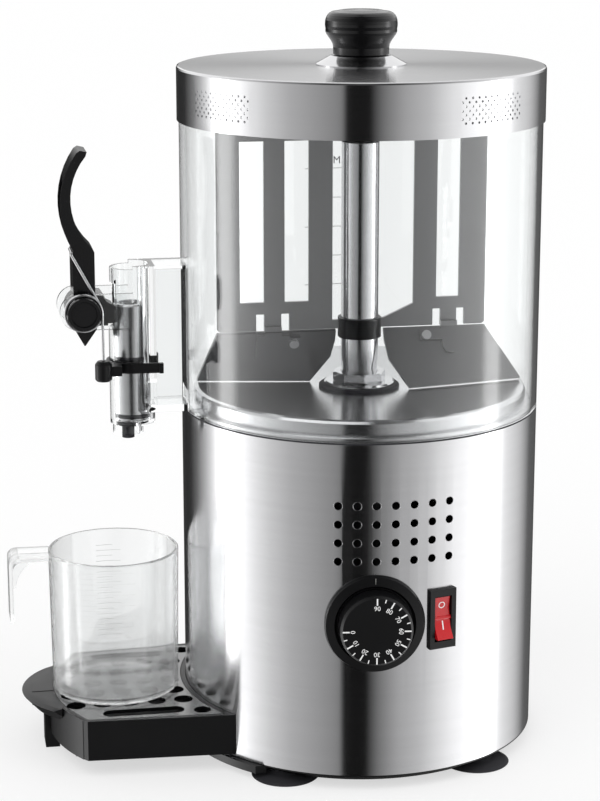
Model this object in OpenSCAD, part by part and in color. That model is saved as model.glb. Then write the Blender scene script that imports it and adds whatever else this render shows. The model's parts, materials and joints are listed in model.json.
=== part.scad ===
// Hot chocolate dispenser: heated steel base, clear tank with a stirrer, lever tap,
// drip tray and measuring jug. Millimetres, +Z up, tap towards -X, controls towards -Y.
// Inside the modules the machine's axis is x = y = 0 and the floor is z = 0.

/* [Base and housing] */
// Outer diameter of the steel housing
housing_d = 225; // [215:1:235]
// Height of the steel housing wall
housing_h = 208; // [195:1:220]
// Sheet thickness of housing, pan and lid
sheet_t = 1; // [0.8:0.1:1.4]
// Height of the moulded base ring
base_t = 5.3; // [5:0.1:8]
// Gap under the base ring that the feet stand in
foot_gap = 4.4; // [4:0.1:8]
// Diameter of a suction foot
foot_d = 42.4; // [36:0.2:44]
// Distance from the housing's wall in to a foot's axis
foot_inset = 14.5; // [13:0.5:20]
// Angle of each foot from the front or back
foot_angle = 38.3; // [32:0.1:46]

/* [Pan and column] */
// Height of the pan's centre above its flange
pan_rise = 9.5; // [9:0.1:14]
// Extra height of the pan's edge over its centre
pan_slope = 3.5; // [2:0.1:5]
// Outer diameter of the centre column
column_d = 23.5; // [21:0.1:25]
// Wall of the centre column
column_t = 2; // [1.2:0.1:2.4]
// Width of the column nut over its corners
nut_d = 33.8; // [32:0.1:36]
// Diameter of the drive shaft
shaft_d = 8; // [7:0.1:9]

/* [Tank and lid] */
// Height of the tank wall that shows under the lid
tank_h = 178.5; // [165:0.5:190]
// Tank wall thickness
tank_t = 3; // [2.5:0.1:3.5]
// Height of the lid's skirt
lid_h = 33; // [30:0.5:38]
// Columns of holes in the longest row of a lid vent
lid_vent_columns = 11; // [7:1:13]
// Diameter of a lid vent hole
lid_vent_hole_d = 1.5; // [1.2:0.1:2]
// Widest diameter of the lid knob
knob_d = 44.6; // [40:0.2:50]
// Height of the lid knob
knob_h = 28; // [25:0.5:32]

/* [Stirrer] */
// Sheet thickness of the stirrer
stirrer_t = 2.5; // [2:0.1:3]
// Reach of the scraper blades from the axis
blade_reach = 102; // [96:0.5:103]
// Lean of the scraper blades from upright
blade_lean = 25; // [20:0.5:28]

/* [Tap] */
// Distance from the machine's axis to the tap tube's axis
tap_x = 144.5; // [141:0.5:150]
// Outer diameter of the tap tube
tap_d = 28; // [27:0.2:30]
// Bore of the tap tube
tap_bore_d = 22.4; // [21:0.1:23]
// Width of the duct between tank and tap
duct_w = 28; // [24:0.5:30]
// Distance from the tap tube's axis to the lever's pivot
pivot_reach = 30.7; // [30:0.1:33]
// Width of the tap lever
lever_w = 25; // [24:0.2:26]
// Diameter of the lever's pivot pin
pivot_d = 6; // [5:0.1:7]
// Diameter of the return spring's wire
wire_d = 1.7; // [1.4:0.1:1.8]
// Turns of the return spring round its spool
spring_turns = 2; // [1:1:3]

/* [Tray and jug] */
// Distance from the machine's axis to the tray's outer edge
tray_reach = 202; // [198:1:208]
// Height of the tray's rim above the floor
tray_top = 37.2; // [35:0.2:42]
// Width of the tray where it meets the housing
tray_w = 136; // [126:1:140]
// Diameter of a drain hole in the grate
drain_hole_d = 12; // [10:0.5:13]
// Distance between the arcs of drain holes
drain_pitch = 16.5; // [15.5:0.1:18]
// Diameter of the measuring jug's rim
jug_d = 82.4; // [76:0.2:84]
// Height of the measuring jug
jug_h = 92; // [84:1:96]

/* [Controls] */
// Diameter of the dial's bezel
bezel_d = 61; // [56:0.5:64]
// Diameter of the dial knob
dial_d = 44.5; // [40:0.5:46]
// Height of both controls above the floor
controls_z = 108; // [100:0.5:115]
// Angle of the dial from the front, towards +X
dial_angle = -6.2; // [-9:0.1:-5]
// Angle of the switch from the front, towards +X
switch_angle = 15.3; // [15:0.1:19]
// Height of the switch frame
switch_h = 37.4; // [36:0.2:40]
// Width of the switch frame
switch_w = 17.6; // [17:0.2:20]
// Distance between vent holes, both ways
vent_pitch = 11.5; // [10:0.1:12]
// Diameter of a vent hole
vent_hole_d = 5; // [4:0.1:6]

/* [Hidden] */
$fn = 96;

// Clearances
slack = 0.3;          // between pieces that only lie together
running = 0.08;       // radial, between a shaft and its bore
guide_gap = 0.1;      // radial, between a slow sliding fit and its bore

// Levels above the floor
housing_r = housing_d / 2;
base_z = foot_gap;
housing_z = base_z + base_t;
deck_z = housing_z + housing_h;              // top edge of the housing wall
flange_z = deck_z + sheet_t;                 // top of the pan's flange
gasket_t = 1;
tank_z = flange_z + gasket_t;                // lower edge of the tank
lid_z = tank_z + tank_h;                     // lower edge of the lid
lid_lap = 5;                                 // depth of tank that the lid covers
tank_top = lid_z + lid_lap;
lid_top = lid_z + lid_h;

// Pan: conical floor, rolled edge and two steps down to the flange
tank_r = housing_r;
tank_bore_r = tank_r - tank_t;
pan_z = flange_z + pan_rise;                 // floor at the centre
pan_step_r = tank_bore_r - 0.5;
pan_skirt_r = tank_bore_r - 4.4;
pan_edge_r = pan_skirt_r - 3;
pan_edge_z = pan_z + pan_slope;
pan_flat_r = 27;
pan_hole_r = column_d / 2 + slack;
function floor_z(r) = pan_z + pan_slope * max(0, r - pan_flat_r) / (pan_edge_r - pan_flat_r);

// Column stack, from the pan up
seal_r = 25.5;
seal_t = 2.5;
washer_r = 22.2;
washer_t = 1.8;
nut_h = 6;
seal_z = pan_z;
washer_z = seal_z + seal_t;
nut_z = washer_z + washer_t;
column_r = column_d / 2;
column_bore_r = column_r - column_t;
shaft_r = shaft_d / 2;
bar_h = 10;                                  // height of the stirrer's top bar
bar_gap = 3;                                 // from the top bar to the tank's shown edge
bar_z = lid_z - bar_gap - bar_h;
column_top = bar_z - 1.5;
hub_r = 13;
hub_h = bar_h + 3;
hub_core = shaft_r + 2.5;                    // half width of the core inside the bar's notch
bridge_h = 3.6;                              // height of the bar over that notch
hub_z = column_top + 0.8;

// Stirrer outline, as distances from the axis (left is towards the tap)
left_tines = [[76.2, 90.6], [48, 61], [17.7, 32.7]];
right_tines = [[34.4, 49.1], [64, 81.1]];
slot_floor_z = lid_z - 114;                  // bottoms of the slots between tines
web_z = slot_floor_z - 18;                   // lower edge of the flat frame
bush_z = web_z - 5.5;
bush_h = 12.5;
bush_r = column_r + 1.9;
window_w = 5.1;
window_h = 10.8;
blade_top_z = web_z - 1.1;
blade_gap = 0.5 + stirrer_t / 2 * sin(blade_lean);   // from a blade's middle plane to the pan
blade_inner = 29;
blade_drop = (blade_top_z - floor_z(blade_inner) - blade_gap) / cos(blade_lean);
blade_drop_out = (blade_top_z - floor_z(blade_reach) - blade_gap) / cos(blade_lean);

// Lid
lid_r = tank_r + 0.25 + sheet_t;
lid_bore_r = lid_r - sheet_t;
lid_vent_pitch = 4.78;
lid_vent_rows = 7;
lid_vent_low = 8.1;                          // lowest row above the lid's edge
lid_vent_angle = 31.5;
boss_r = 28;
boss_top_r = 18.9;
boss_h = 5.6;
boss_z = lid_top;
knob_z = boss_z + boss_h;
knob_r = knob_d / 2;

// Tap
tap_r = tap_d / 2;
tap_bore_r = tap_bore_d / 2;
tap_floor_z = tank_z - 6.5;                  // seat of the piston
tap_top = lid_z - 88.5;
tap_step_z = lid_z - 126;                    // the tube is slimmer above this
tap_upper_r = tap_r - 1;
nozzle_r = 9.5;
nozzle_bore_r = 6.6;
nozzle_shift = 3;
nozzle_h = 8.6;
plug_r = 3.85;
duct_floor_z = tank_z;
duct_top = tap_top + 2;
duct_wall = 2.5;
pivot_x = -tap_x - pivot_reach;
pivot_z = lid_z - 113.4;
pivot_r = pivot_d / 2;
lever_gap = 0.4;                             // each side of the lever
ear_t = 2.7;
ear_r = 11.3;
ear_y = lever_w / 2 + lever_gap;
ear_out = ear_y + ear_t;
nose_w = 12.5;                               // the part of the lever inside the tube
piston_r = tap_bore_r - guide_gap;
piston_top = pivot_z + 2.6;
notch_low = pivot_z - 12;
notch_high = pivot_z - 0.2;
ring_r = 1.2;                                // section radius of a piston ring

// Return spring: spool, coil and two straight legs
spool_r = 9.4;
spool_face_r = 10.3;
coil_rings = 8;                              // rings of the wire's mesh in a turn
coil_r = (spool_r + wire_d / 2 + 0.12) / cos(180 / coil_rings);
coil_pitch = wire_d + 0.5;
coil_y = ear_out + wire_d / 2 + 0.15;        // nearest turn, in front of the ear
spool_l = spring_turns * coil_pitch + wire_d + 0.8;
spool_face_t = 1.6;
clip_z = pivot_z - 39.7;
clip_h = 6.3;
clip_t = 1.8;
clip_y = max(tap_r, duct_w / 2) + guide_gap; // inside of the clip's arms
barrel_r = 5.2;
barrel_h = 12.6;
barrel_z = clip_z - 2.5;
leg_y = coil_y + spring_turns * coil_pitch;
leg_low_z = barrel_z + barrel_h - 4;
catch_dx = -5.5;                             // the lever's notch, from the pivot
catch_dz = 37.3;

// Tray and grate
tray_z = housing_z + 1.6;
tray_end_r = 113;
tray_end_x = -(tray_reach - tray_end_r);
tray_outer_half = tray_w / 2 - 5.2;
tray_corner_x = tray_reach - 20;              // where its sides turn in to the outer end
tray_inner_x = -sqrt(pow(housing_r + slack, 2) - pow(tray_w / 2 - 2, 2));
tray_wall = 3;
tray_floor_t = 2.5;
grate_t = 2.4;
grate_gap = 0.35;
side_slot_l = 40;
side_slot_y = tray_w / 2 - 16.5;
grate_z = tray_top - grate_t;
ledge_w = 2.5;
wing_tip = tray_reach + 16.7;
wing_r = 52.1;
wing_top = tray_top;
wing_h = 9;
wing_half = 39;
wing_lip = 1.2;                              // height of the wing's upper, bevelled edge
tray_foot_x = tray_reach - 1;
tongue_half = 40;

// Jug
jug_x = -158.5;
jug_r = jug_d / 2;
jug_base_r = jug_r - 1.2;
jug_wall = 2;
jug_z = tray_top + slack;
jug_handle_w = 24;
jug_handle_t = 2.4;
jug_handle_reach = 66.6;
jug_handle_drop = 43;

// Controls
knob_proud = 15;                             // face of the dial knob over the housing
dial_shaft_r = 3;
bezel_proud = 4;
bezel_recess = bezel_proud - 2.4;            // floor of the well in which the knob turns
switch_proud = 2.5;
rocker_h = switch_h - 11;
rocker_w = switch_w - 7;
rocker_tilt = -11;                           // at rest its lower half stands out
rocker_gap = 0.4;

// Inner parts
motor_r = 30;
motor_h = 55;
gearbox_r = 40;
gearbox_h = 30;
gearbox_z = deck_z - 68;
plate_z = gearbox_z + gearbox_h;
post_circle_r = 36;
post_r = 5;
heater_r = 70;
heater_tube_r = 4;

// Extremes of the whole machine, which put its origin under the middle of its box
min_x = -(max(wing_tip, jug_handle_reach - jug_x));
max_x = lid_r;
min_y = -((housing_r + knob_proud) * cos(dial_angle) + dial_d / 2 * sin(abs(dial_angle)));
max_y = lid_r;
centre_x = (min_x + max_x) / 2;
centre_y = (min_y + max_y) / 2;

module place() {
    translate([-centre_x, -centre_y, 0]) children();
}

// Turns a part about the axis so that its -Y side faces the given angle from the front
module facing(angle) {
    rotate([0, 0, angle]) children();
}

// A cylinder that runs along Y from y0 to y1
module rod_y(x, z, r, y0, y1) {
    translate([x, y1, z]) rotate([90, 0, 0]) cylinder(r = r, h = y1 - y0);
}

// A box from its two corners
module span(low, high) {
    translate(low) cube(high - low);
}

// A pipe: outer radius, inner radius, bottom and top
module pipe(ro, ri, z0, z1) {
    translate([0, 0, z0]) difference() {
        cylinder(r = ro, h = z1 - z0);
        translate([0, 0, -1]) cylinder(r = ri, h = z1 - z0 + 2);
    }
}

function arc(c, r, a0, a1, n) = [for (i = [0 : n]) let (a = a0 + (a1 - a0) * i / n)
    c + r * [cos(a), sin(a)]];

// ---------- base ----------

foot_circle_r = housing_r - foot_inset;
stem_r = 8;
stem_top = base_z + 3.2;
screw_r = 2;
screw_head_r = 3.8;

module foot_places() {
    for (a = [foot_angle, -foot_angle, 180 + foot_angle, 180 - foot_angle])
        rotate([0, 0, a]) translate([0, -foot_circle_r, 0]) children();
}

module base_plate() {
    color([0.06, 0.06, 0.065]) difference() {
        union() {
            rotate_extrude() polygon([
                [0, base_z], [housing_r - 7, base_z], [housing_r - 1.5, base_z + 3.6],
                [housing_r, base_z + 4.4], [housing_r, housing_z],
                [housing_r - sheet_t - slack, housing_z], [housing_r - sheet_t - slack, housing_z + 5],
                [housing_r - sheet_t - 2.5, housing_z + 5], [housing_r - sheet_t - 2.5, housing_z],
                [0, housing_z]
            ]);
            // tongue that carries the drip tray, with a collar where it leaves the ring
            intersection() {
                translate([0, 0, base_z]) cylinder(r = housing_r + 4, h = base_t - 0.4);
                span([-housing_r - 10, -84, 0], [-74, 84, 40]);
            }
            difference() {
                span([-tray_reach + 14, -tongue_half, base_z + 1], [-90, tongue_half, tray_z - slack]);
                translate([0, 0, housing_z]) cylinder(r = housing_r + slack, h = 20);
            }
        }
        foot_places() {
            translate([0, 0, base_z - 1]) cylinder(r = stem_r + slack, h = stem_top - base_z + 1);
            translate([0, 0, base_z]) cylinder(r = screw_r + 0.2, h = base_t + 1);
        }
        // hollow of the tongue, open below
        span([-tray_reach + 18, -tongue_half + 4, base_z], [-housing_r - 8, tongue_half - 4, tray_z - 3]);
        // air slots in the floor
        for (i = [-3 : 3]) span([i * 12 - 2.5, 24, base_z - 1], [i * 12 + 2.5, 64, housing_z + 1]);
    }
}

module foot() {
    color([0.05, 0.05, 0.055]) rotate_extrude() polygon([
        [0, 1.2], [foot_d / 2 - 6, 0], [foot_d / 2 - 0.6, 0], [foot_d / 2, 0.5],
        [foot_d / 2 - 2, 1.3], [stem_r + 2.4, base_z - 1.4], [stem_r, base_z - 0.2],
        [stem_r, stem_top - 0.05], [screw_r + guide_gap, stem_top - 0.05],
        [screw_r + guide_gap, 2], [0, 2]
    ]);
}

module foot_at(i) {
    a = [foot_angle, -foot_angle, 180 + foot_angle, 180 - foot_angle][i];
    rotate([0, 0, -a]) translate([0, -foot_circle_r, 0]) foot();
}

module foot_front_left() { foot_at(0); }
module foot_front_right() { foot_at(1); }
module foot_rear_right() { foot_at(2); }
module foot_rear_left() { foot_at(3); }

module foot_screws() {
    color([0.6, 0.6, 0.62]) foot_places() {
        translate([0, 0, 2.1]) cylinder(r = screw_r, h = housing_z - 2.1 + 0.05);
        translate([0, 0, housing_z + 0.05]) cylinder(r = screw_head_r, h = 2.4);
    }
}

// ---------- housing and what is on its wall ----------

gland_x = 30;
gland_z = 30;
gland_r = 7;
gland_flange_r = gland_r + 4;
gland_bore_r = 3.6;
gland_wall_y = sqrt(housing_r * housing_r - pow(gland_x + gland_flange_r, 2));
block_t = 16;
block_y = gland_wall_y - 20.8;               // side of the terminal block that faces the gland

module vent_field() {
    step = 360 * vent_pitch / (2 * PI * housing_r);
    for (row = [0 : 3], col = [-3 : 3])
        rotate([0, 0, col * step])
            rod_y(0, controls_z + 38.7 + row * vent_pitch, vent_hole_d / 2, -housing_r - 2, -housing_r + 4);
}

module housing_shell() {
    color([0.78, 0.78, 0.8]) difference() {
        pipe(housing_r, housing_r - sheet_t, housing_z, deck_z);
        vent_field();
        facing(dial_angle) rod_y(0, controls_z, 12, -housing_r - 5, -housing_r + 10);
        facing(switch_angle)
            span([-switch_w / 2 + 2, -housing_r - 5, controls_z - switch_h / 2 + 2],
                 [switch_w / 2 - 2, -housing_r + 15, controls_z + switch_h / 2 - 2]);
        rod_y(gland_x, gland_z, gland_r + 0.2, gland_wall_y - 5, housing_r + 5);
    }
}

module cord_gland() {
    color([0.05, 0.05, 0.055]) translate([gland_x, 0, gland_z]) difference() {
        union() {
            rod_y(0, 0, gland_r, gland_wall_y - 12, housing_r + 1);
            difference() {
                rod_y(0, 0, gland_flange_r, gland_wall_y, housing_r + 1);
                translate([-gland_x, 0, -gland_z]) cylinder(r = housing_r + 0.05, h = 200);
            }
            rod_y(0, 0, gland_flange_r, gland_wall_y - 12, gland_wall_y - 8);
        }
        rod_y(0, 0, gland_bore_r, gland_wall_y - 20, housing_r + 10);
    }
}

module terminal_block() {
    color([0.9, 0.9, 0.86]) difference() {
        span([6, block_y - block_t, housing_z + 0.05], [56, block_y, housing_z + 14]);
        for (i = [0 : 3])
            translate([13 + 12 * i, block_y - block_t / 2, housing_z + 6]) cylinder(r = 2.6, h = 20);
    }
}

module dial_bezel() {
    r0 = housing_r;
    facing(dial_angle) color([0.06, 0.06, 0.065]) difference() {
        translate([0, 0, controls_z]) rotate([90, 0, 0]) translate([0, 0, r0 - 8]) rotate_extrude()
            polygon([
                [dial_shaft_r + 2.2, 0], [bezel_d / 2 - 0.6, 0], [bezel_d / 2, 8],
                [bezel_d / 2 - 0.8, 8 + bezel_proud - 1.2], [dial_d / 2 + 2.4, 8 + bezel_proud],
                [dial_d / 2 + 0.8, 8 + bezel_recess], [dial_shaft_r + 2.2, 8 + bezel_recess]
            ]);
        cylinder(r = housing_r + 0.1, h = 400, $fn = 720);
    }
}

module thermostat_body() {
    y0 = -housing_r + sheet_t + 4;
    facing(dial_angle) color([0.75, 0.74, 0.7]) translate([0, 0, controls_z]) difference() {
        union() {
            span([-18, y0, -16], [18, y0 + 26, 16]);
            rod_y(0, 0, 7, -housing_r + 1.2, y0 + 1);
            // ears that bear on the inside of the wall
            span([-24, y0 - 1.2, -5], [24, y0 + 1, 5]);
        }
        rod_y(0, 0, dial_shaft_r + running, -housing_r - 1, y0 + 12);
        translate([0, 0, -controls_z]) difference() {
            cylinder(r = housing_r + 20, h = 300);
            translate([0, 0, -1]) cylinder(r = housing_r - sheet_t - 0.05, h = 302);
        }
    }
}

module dial_spindle() {
    facing(dial_angle) color([0.7, 0.7, 0.72])
        rod_y(0, controls_z, dial_shaft_r, -housing_r - knob_proud + 4, -housing_r + sheet_t + 4 + 11.5);
}

module dial_knob() {
    low = bezel_proud - 1.9;
    facing(dial_angle) color([0.05, 0.05, 0.055]) difference() {
        translate([0, 0, controls_z]) rotate([90, 0, 0]) translate([0, 0, housing_r]) rotate_extrude()
            polygon([
                [0, low], [dial_d / 2 - 0.4, low], [dial_d / 2, low + 0.6],
                [dial_d / 2 - 0.4, knob_proud - 1.6], [dial_d / 2 - 1.8, knob_proud], [0, knob_proud]
            ]);
        rod_y(0, controls_z, dial_shaft_r, -housing_r - knob_proud + 4, 0);
    }
}

module switch_body() {
    frame_y = -housing_r - switch_proud;
    facing(switch_angle) color([0.05, 0.05, 0.055]) difference() {
        union() {
            difference() {
                span([-switch_w / 2, frame_y, controls_z - switch_h / 2],
                     [switch_w / 2, -housing_r + 2, controls_z + switch_h / 2]);
                cylinder(r = housing_r + 0.05, h = 300);
            }
            span([-switch_w / 2 + 2.2, frame_y + 1, controls_z - switch_h / 2 + 2.2],
                 [switch_w / 2 - 2.2, -housing_r + 24, controls_z + switch_h / 2 - 2.2]);
        }
        // well that the rocker swings in
        span([-rocker_w / 2 - rocker_gap, frame_y - 1, controls_z - rocker_h / 2 - 1],
             [rocker_w / 2 + rocker_gap, -housing_r + 8, controls_z + rocker_h / 2 + 1]);
        translate([0, -housing_r, controls_z]) rotate([0, 90, 0])
            translate([0, 0, -rocker_w / 2 - 1.6]) cylinder(r = 1.5 + running, h = rocker_w + 3.2);
    }
}

module switch_rocker() {
    half = rocker_h / 2 - 0.2;
    facing(switch_angle) color([0.75, 0.03, 0.05]) translate([0, -housing_r, controls_z]) union() {
        rotate([rocker_tilt, 0, 0]) difference() {
            rotate([90, 0, 90]) translate([0, 0, -rocker_w / 2]) linear_extrude(rocker_w) polygon([
                [-3.6, -half], [-1.2, -half * 0.5], [-0.8, 0], [-1.2, half * 0.5], [-3.6, half],
                [3, half - 1], [5, 0], [3, -half + 1]
            ]);
        }
        rotate([0, 90, 0]) translate([0, 0, -rocker_w / 2 - 1.2]) cylinder(r = 1.5, h = rocker_w + 2.4);
    }
}

// ---------- pan, heating and drive ----------

module pan() {
    u = sheet_t;
    color([0.8, 0.8, 0.82]) rotate_extrude() polygon([
        [pan_hole_r, pan_z], [pan_flat_r, pan_z], [pan_edge_r, pan_edge_z],
        [pan_skirt_r - 0.9, pan_edge_z - 0.6], [pan_skirt_r, pan_edge_z - 2],
        [pan_skirt_r, flange_z + 4], [pan_step_r - 0.7, flange_z + 3.7], [pan_step_r, flange_z + 3],
        [pan_step_r, flange_z], [housing_r, flange_z], [housing_r, deck_z],
        [pan_step_r - u, deck_z], [pan_step_r - u, flange_z + 2.7], [pan_skirt_r - u, flange_z + 2.9],
        [pan_skirt_r - u, pan_edge_z - 2.4], [pan_edge_r, pan_edge_z - u - 0.2],
        [pan_flat_r, pan_z - u], [pan_hole_r, pan_z - u]
    ]);
}

module ring_heater() {
    z = floor_z(heater_r - heater_tube_r) - sheet_t - heater_tube_r - 0.3;
    color([0.45, 0.45, 0.47]) union() {
        translate([0, 0, z]) rotate([0, 0, 100]) rotate_extrude(angle = 340)
            translate([heater_r, 0]) circle(r = heater_tube_r);
        for (a = [100, 80]) rotate([0, 0, a]) translate([heater_r, 0, z - 24])
            cylinder(r = heater_tube_r - 0.6, h = 24);
    }
}

module safety_cutout() {
    color([0.15, 0.15, 0.16]) translate([34, -34, 0]) {
        z = floor_z(38) - sheet_t - slack;
        translate([0, 0, z - 12]) cylinder(r = 9, h = 12);
        span([-7, -1.5, z - 20], [-5, 1.5, z - 11]);
        span([5, -1.5, z - 20], [7, 1.5, z - 11]);
    }
}

module thermostat_probe() {
    z = floor_z(48) - sheet_t - 3.5;
    body_inner_r = housing_r - sheet_t - 4 - 26;
    color([0.72, 0.5, 0.32]) union() {
        rotate([0, 0, 200]) rotate_extrude(angle = 60) translate([52, z]) circle(r = 3);
        rotate([0, 0, 258]) rotate_extrude(angle = 8) translate([52, z]) circle(r = 1.2);
        rotate([0, 0, 266]) translate([52, 0, 0]) {
            translate([0, 0, z]) sphere(r = 1.6);
            translate([0, 0, controls_z + 16.3]) cylinder(r = 1.2, h = z - controls_z - 16.3);
            translate([0, 0, controls_z + 16.3]) sphere(r = 1.6);
        }
        rotate([0, 0, 266]) translate([52, 0, controls_z + 16.3]) rotate([0, 90, 0])
            cylinder(r = 1.2, h = body_inner_r - 52 - 0.6);
    }
}

module gearbox() {
    color([0.55, 0.56, 0.58]) difference() {
        union() {
            translate([0, 0, gearbox_z]) cylinder(r = gearbox_r, h = gearbox_h - 0.05);
            translate([0, 0, gearbox_z + gearbox_h - 1]) cylinder(r = 10, h = 9);
        }
        translate([0, 0, gearbox_z + 12]) cylinder(r = shaft_r + running, h = 60);
    }
}

module gear_motor() {
    color([0.3, 0.31, 0.33]) union() {
        translate([0, 0, gearbox_z - motor_h]) cylinder(r = motor_r, h = motor_h - 0.05);
        translate([0, 0, gearbox_z - motor_h - 8]) cylinder(r = 8, h = 9);
        for (i = [0 : 11]) rotate([0, 0, 30 * i])
            span([motor_r - 1, -1.2, gearbox_z - motor_h + 8], [motor_r + 2, 1.2, gearbox_z - 8]);
    }
}

module post_places() {
    for (a = [30, 150, 270]) rotate([0, 0, a]) translate([post_circle_r, 0, 0]) children();
}

module motor_bracket() {
    top = floor_z(post_circle_r - post_r) - sheet_t - 0.05;
    color([0.66, 0.67, 0.7]) difference() {
        union() {
            translate([0, 0, plate_z]) cylinder(r = gearbox_r + 3, h = 2);
            post_places() translate([0, 0, plate_z + 1]) cylinder(r = post_r, h = top - plate_z - 1);
        }
        translate([0, 0, plate_z - 1]) cylinder(r = 10 + slack, h = 5);
        for (a = [90, 210, 330]) rotate([0, 0, a]) translate([28, 0, plate_z - 1])
            cylinder(r = screw_r + 0.2, h = 5);
    }
}

module bracket_screws() {
    color([0.6, 0.6, 0.62]) for (a = [90, 210, 330]) rotate([0, 0, a]) translate([28, 0, 0]) {
        translate([0, 0, plate_z + 0.02]) cylinder(r = screw_r, h = 3);
        translate([0, 0, plate_z + 2.05]) cylinder(r = screw_head_r, h = 2.2);
    }
}

// ---------- column ----------

module column_tube() {
    foot_z = pan_z - sheet_t - 0.05;
    color([0.82, 0.82, 0.84]) difference() {
        union() {
            translate([0, 0, foot_z]) cylinder(r = column_r, h = column_top - foot_z);
            translate([0, 0, foot_z - 3]) cylinder(r = column_r + 6, h = 3);
        }
        translate([0, 0, foot_z - 5]) cylinder(r = column_bore_r, h = column_top - foot_z + 10);
        // run-out groove over the nut's thread
        translate([0, 0, nut_z + nut_h + 1]) pipe(column_r + 1, column_r - 0.5, 0, 6);
    }
}

module column_seal() {
    color([0.07, 0.07, 0.075]) rotate_extrude() polygon([
        [pan_hole_r, seal_z + 0.02], [seal_r, seal_z + 0.02], [seal_r, seal_z + seal_t - 1],
        [seal_r - 1.4, seal_z + seal_t], [pan_hole_r, seal_z + seal_t]
    ]);
}

module column_washer() {
    color([0.8, 0.8, 0.82]) rotate_extrude() polygon([
        [pan_hole_r, washer_z + 0.02], [washer_r, washer_z + 0.02], [washer_r, washer_z + 0.9],
        [washer_r - 1, washer_z + washer_t], [pan_hole_r, washer_z + washer_t]
    ]);
}

module column_nut() {
    color([0.8, 0.8, 0.82]) intersection() {
        translate([0, 0, nut_z + 0.02]) difference() {
            cylinder(r = nut_d / 2, h = nut_h, $fn = 8);
            translate([0, 0, -1]) cylinder(r = column_r + guide_gap, h = nut_h + 2);
        }
        // chamfered corners, top and bottom
        rotate_extrude() polygon([
            [0, nut_z], [nut_d / 2 - 1, nut_z], [nut_d / 2 + 0.4, nut_z + 1.2],
            [nut_d / 2 + 0.4, nut_z + nut_h - 1.2], [nut_d / 2 - 1, nut_z + nut_h + 0.02],
            [0, nut_z + nut_h + 0.02]
        ]);
    }
}

module shaft_bush(z, h) {
    color([0.85, 0.84, 0.8]) pipe(column_bore_r - 0.05, shaft_r + running, z, z + h);
}

module column_lower_bush() { shaft_bush(pan_z, 14); }
module column_upper_bush() { shaft_bush(column_top - 14, 14); }

module drive_shaft() {
    z0 = gearbox_z + 12.3;
    color([0.7, 0.7, 0.72]) translate([0, 0, z0])
        cylinder(r = shaft_r, h = bar_z + bar_h - bridge_h - 1.6 - z0);
}

// ---------- stirrer ----------

module tine(x0, x1, low) {
    translate([x0, low]) square([x1 - x0, bar_z + 2 - low]);
}

// A tongue or window place: its middle, from the axis
left_window = [63.5, 47.6];
right_window = [49.6, 65.1];
left_out = left_tines[0][1];
right_out = right_tines[1][1];

module frame_outline() {
    difference() {
        union() {
            // left wing, three tines
            translate([-left_out, web_z]) square([left_out - left_tines[2][0], slot_floor_z - web_z]);
            for (t = left_tines) tine(-t[1], -t[0], slot_floor_z - 1);
            // right wing, two tines
            translate([right_tines[0][0], web_z])
                square([right_out - right_tines[0][0], slot_floor_z - web_z]);
            for (t = right_tines) tine(t[0], t[1], slot_floor_z - 1);
            // arms to the bush
            polygon([[-left_tines[2][0] - 1, slot_floor_z - 12.5], [-bush_r + 1, slot_floor_z - 12.5],
                     [-bush_r + 1, web_z], [-left_tines[2][0] - 1, web_z]]);
            polygon([[right_tines[0][0] + 1, slot_floor_z - 3], [bush_r + 2, slot_floor_z - 12],
                     [bush_r - 1, slot_floor_z - 12], [bush_r - 1, web_z],
                     [right_tines[0][0] + 1, web_z]]);
            // top bar
            translate([-left_out, bar_z]) square([left_out + right_out, bar_h]);
        }
        // windows beside the tongues
        for (x = left_window) translate([-x - window_w / 2, web_z - 0.2]) square([window_w, window_h]);
        for (x = right_window) translate([x - window_w / 2, web_z - 0.2]) square([window_w, window_h]);
        // rounded slot bottoms
        for (s = [[-68.6, 15.2], [-40.35, 15.3], [56.55, 14.9]])
            translate([s[0] - s[1] / 2 + 3, slot_floor_z]) square([s[1] - 6, 1]);
        // clipped lower corners
        translate([-left_out, web_z]) rotate(45) square(2.4, center = true);
        translate([right_out, web_z]) rotate(45) square(2.4, center = true);
    }
}

// Places a flat outline, drawn in x and z, in a plane that leans about a line at blade_top_z
module leaning(side, t0, t1) {
    translate([0, 0, blade_top_z]) rotate([side * blade_lean, 0, 0]) translate([0, t1, 0])
        rotate([90, 0, 0]) linear_extrude(t1 - t0) children();
}

// side 1 leans the lower edge towards -Y reversed, that is +Y, and side -1 towards -Y
module blade_outline(mirror_x, outer) {
    m = mirror_x ? -1 : 1;
    inner_top = bush_r + 1.6;
    polygon([
        [m * outer, 0], [m * blade_reach, -blade_drop_out], [m * blade_inner, -blade_drop],
        [m * (inner_top + 2), -blade_drop * 0.52], [m * inner_top, -blade_drop * 0.2],
        [m * inner_top, 0]
    ]);
}

screw_x = 42;
screw_drop = 4.5;

module scraper(side, mirror_x, outer) {
    color([0.62, 0.62, 0.64]) difference() {
        leaning(side, -stirrer_t / 2, stirrer_t / 2) blade_outline(mirror_x, outer);
        leaning(side, -5, 5) translate([(mirror_x ? -1 : 1) * screw_x, -screw_drop - 2])
            circle(r = 1.6);
    }
}

module scraper_left() { scraper(1, true, left_out); }
module scraper_right() { scraper(-1, false, right_out); }

module tongue_right() {
    mid = (right_window[0] + right_window[1]) / 2;
    half = (right_window[1] - right_window[0] - window_w) / 2;
    low = -13;
    union() {
        leaning(-1, -1.5 * stirrer_t - 0.1, -stirrer_t / 2 - 0.1) union() {
            translate([mid - half, low]) square([2 * half, -low + 2]);
            translate([mid, low]) circle(r = half);
        }
        span([mid - half, -1.5 * stirrer_t - 0.1, blade_top_z + 0.9],
             [mid + half, stirrer_t / 2, blade_top_z + 4]);
    }
}

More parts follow.
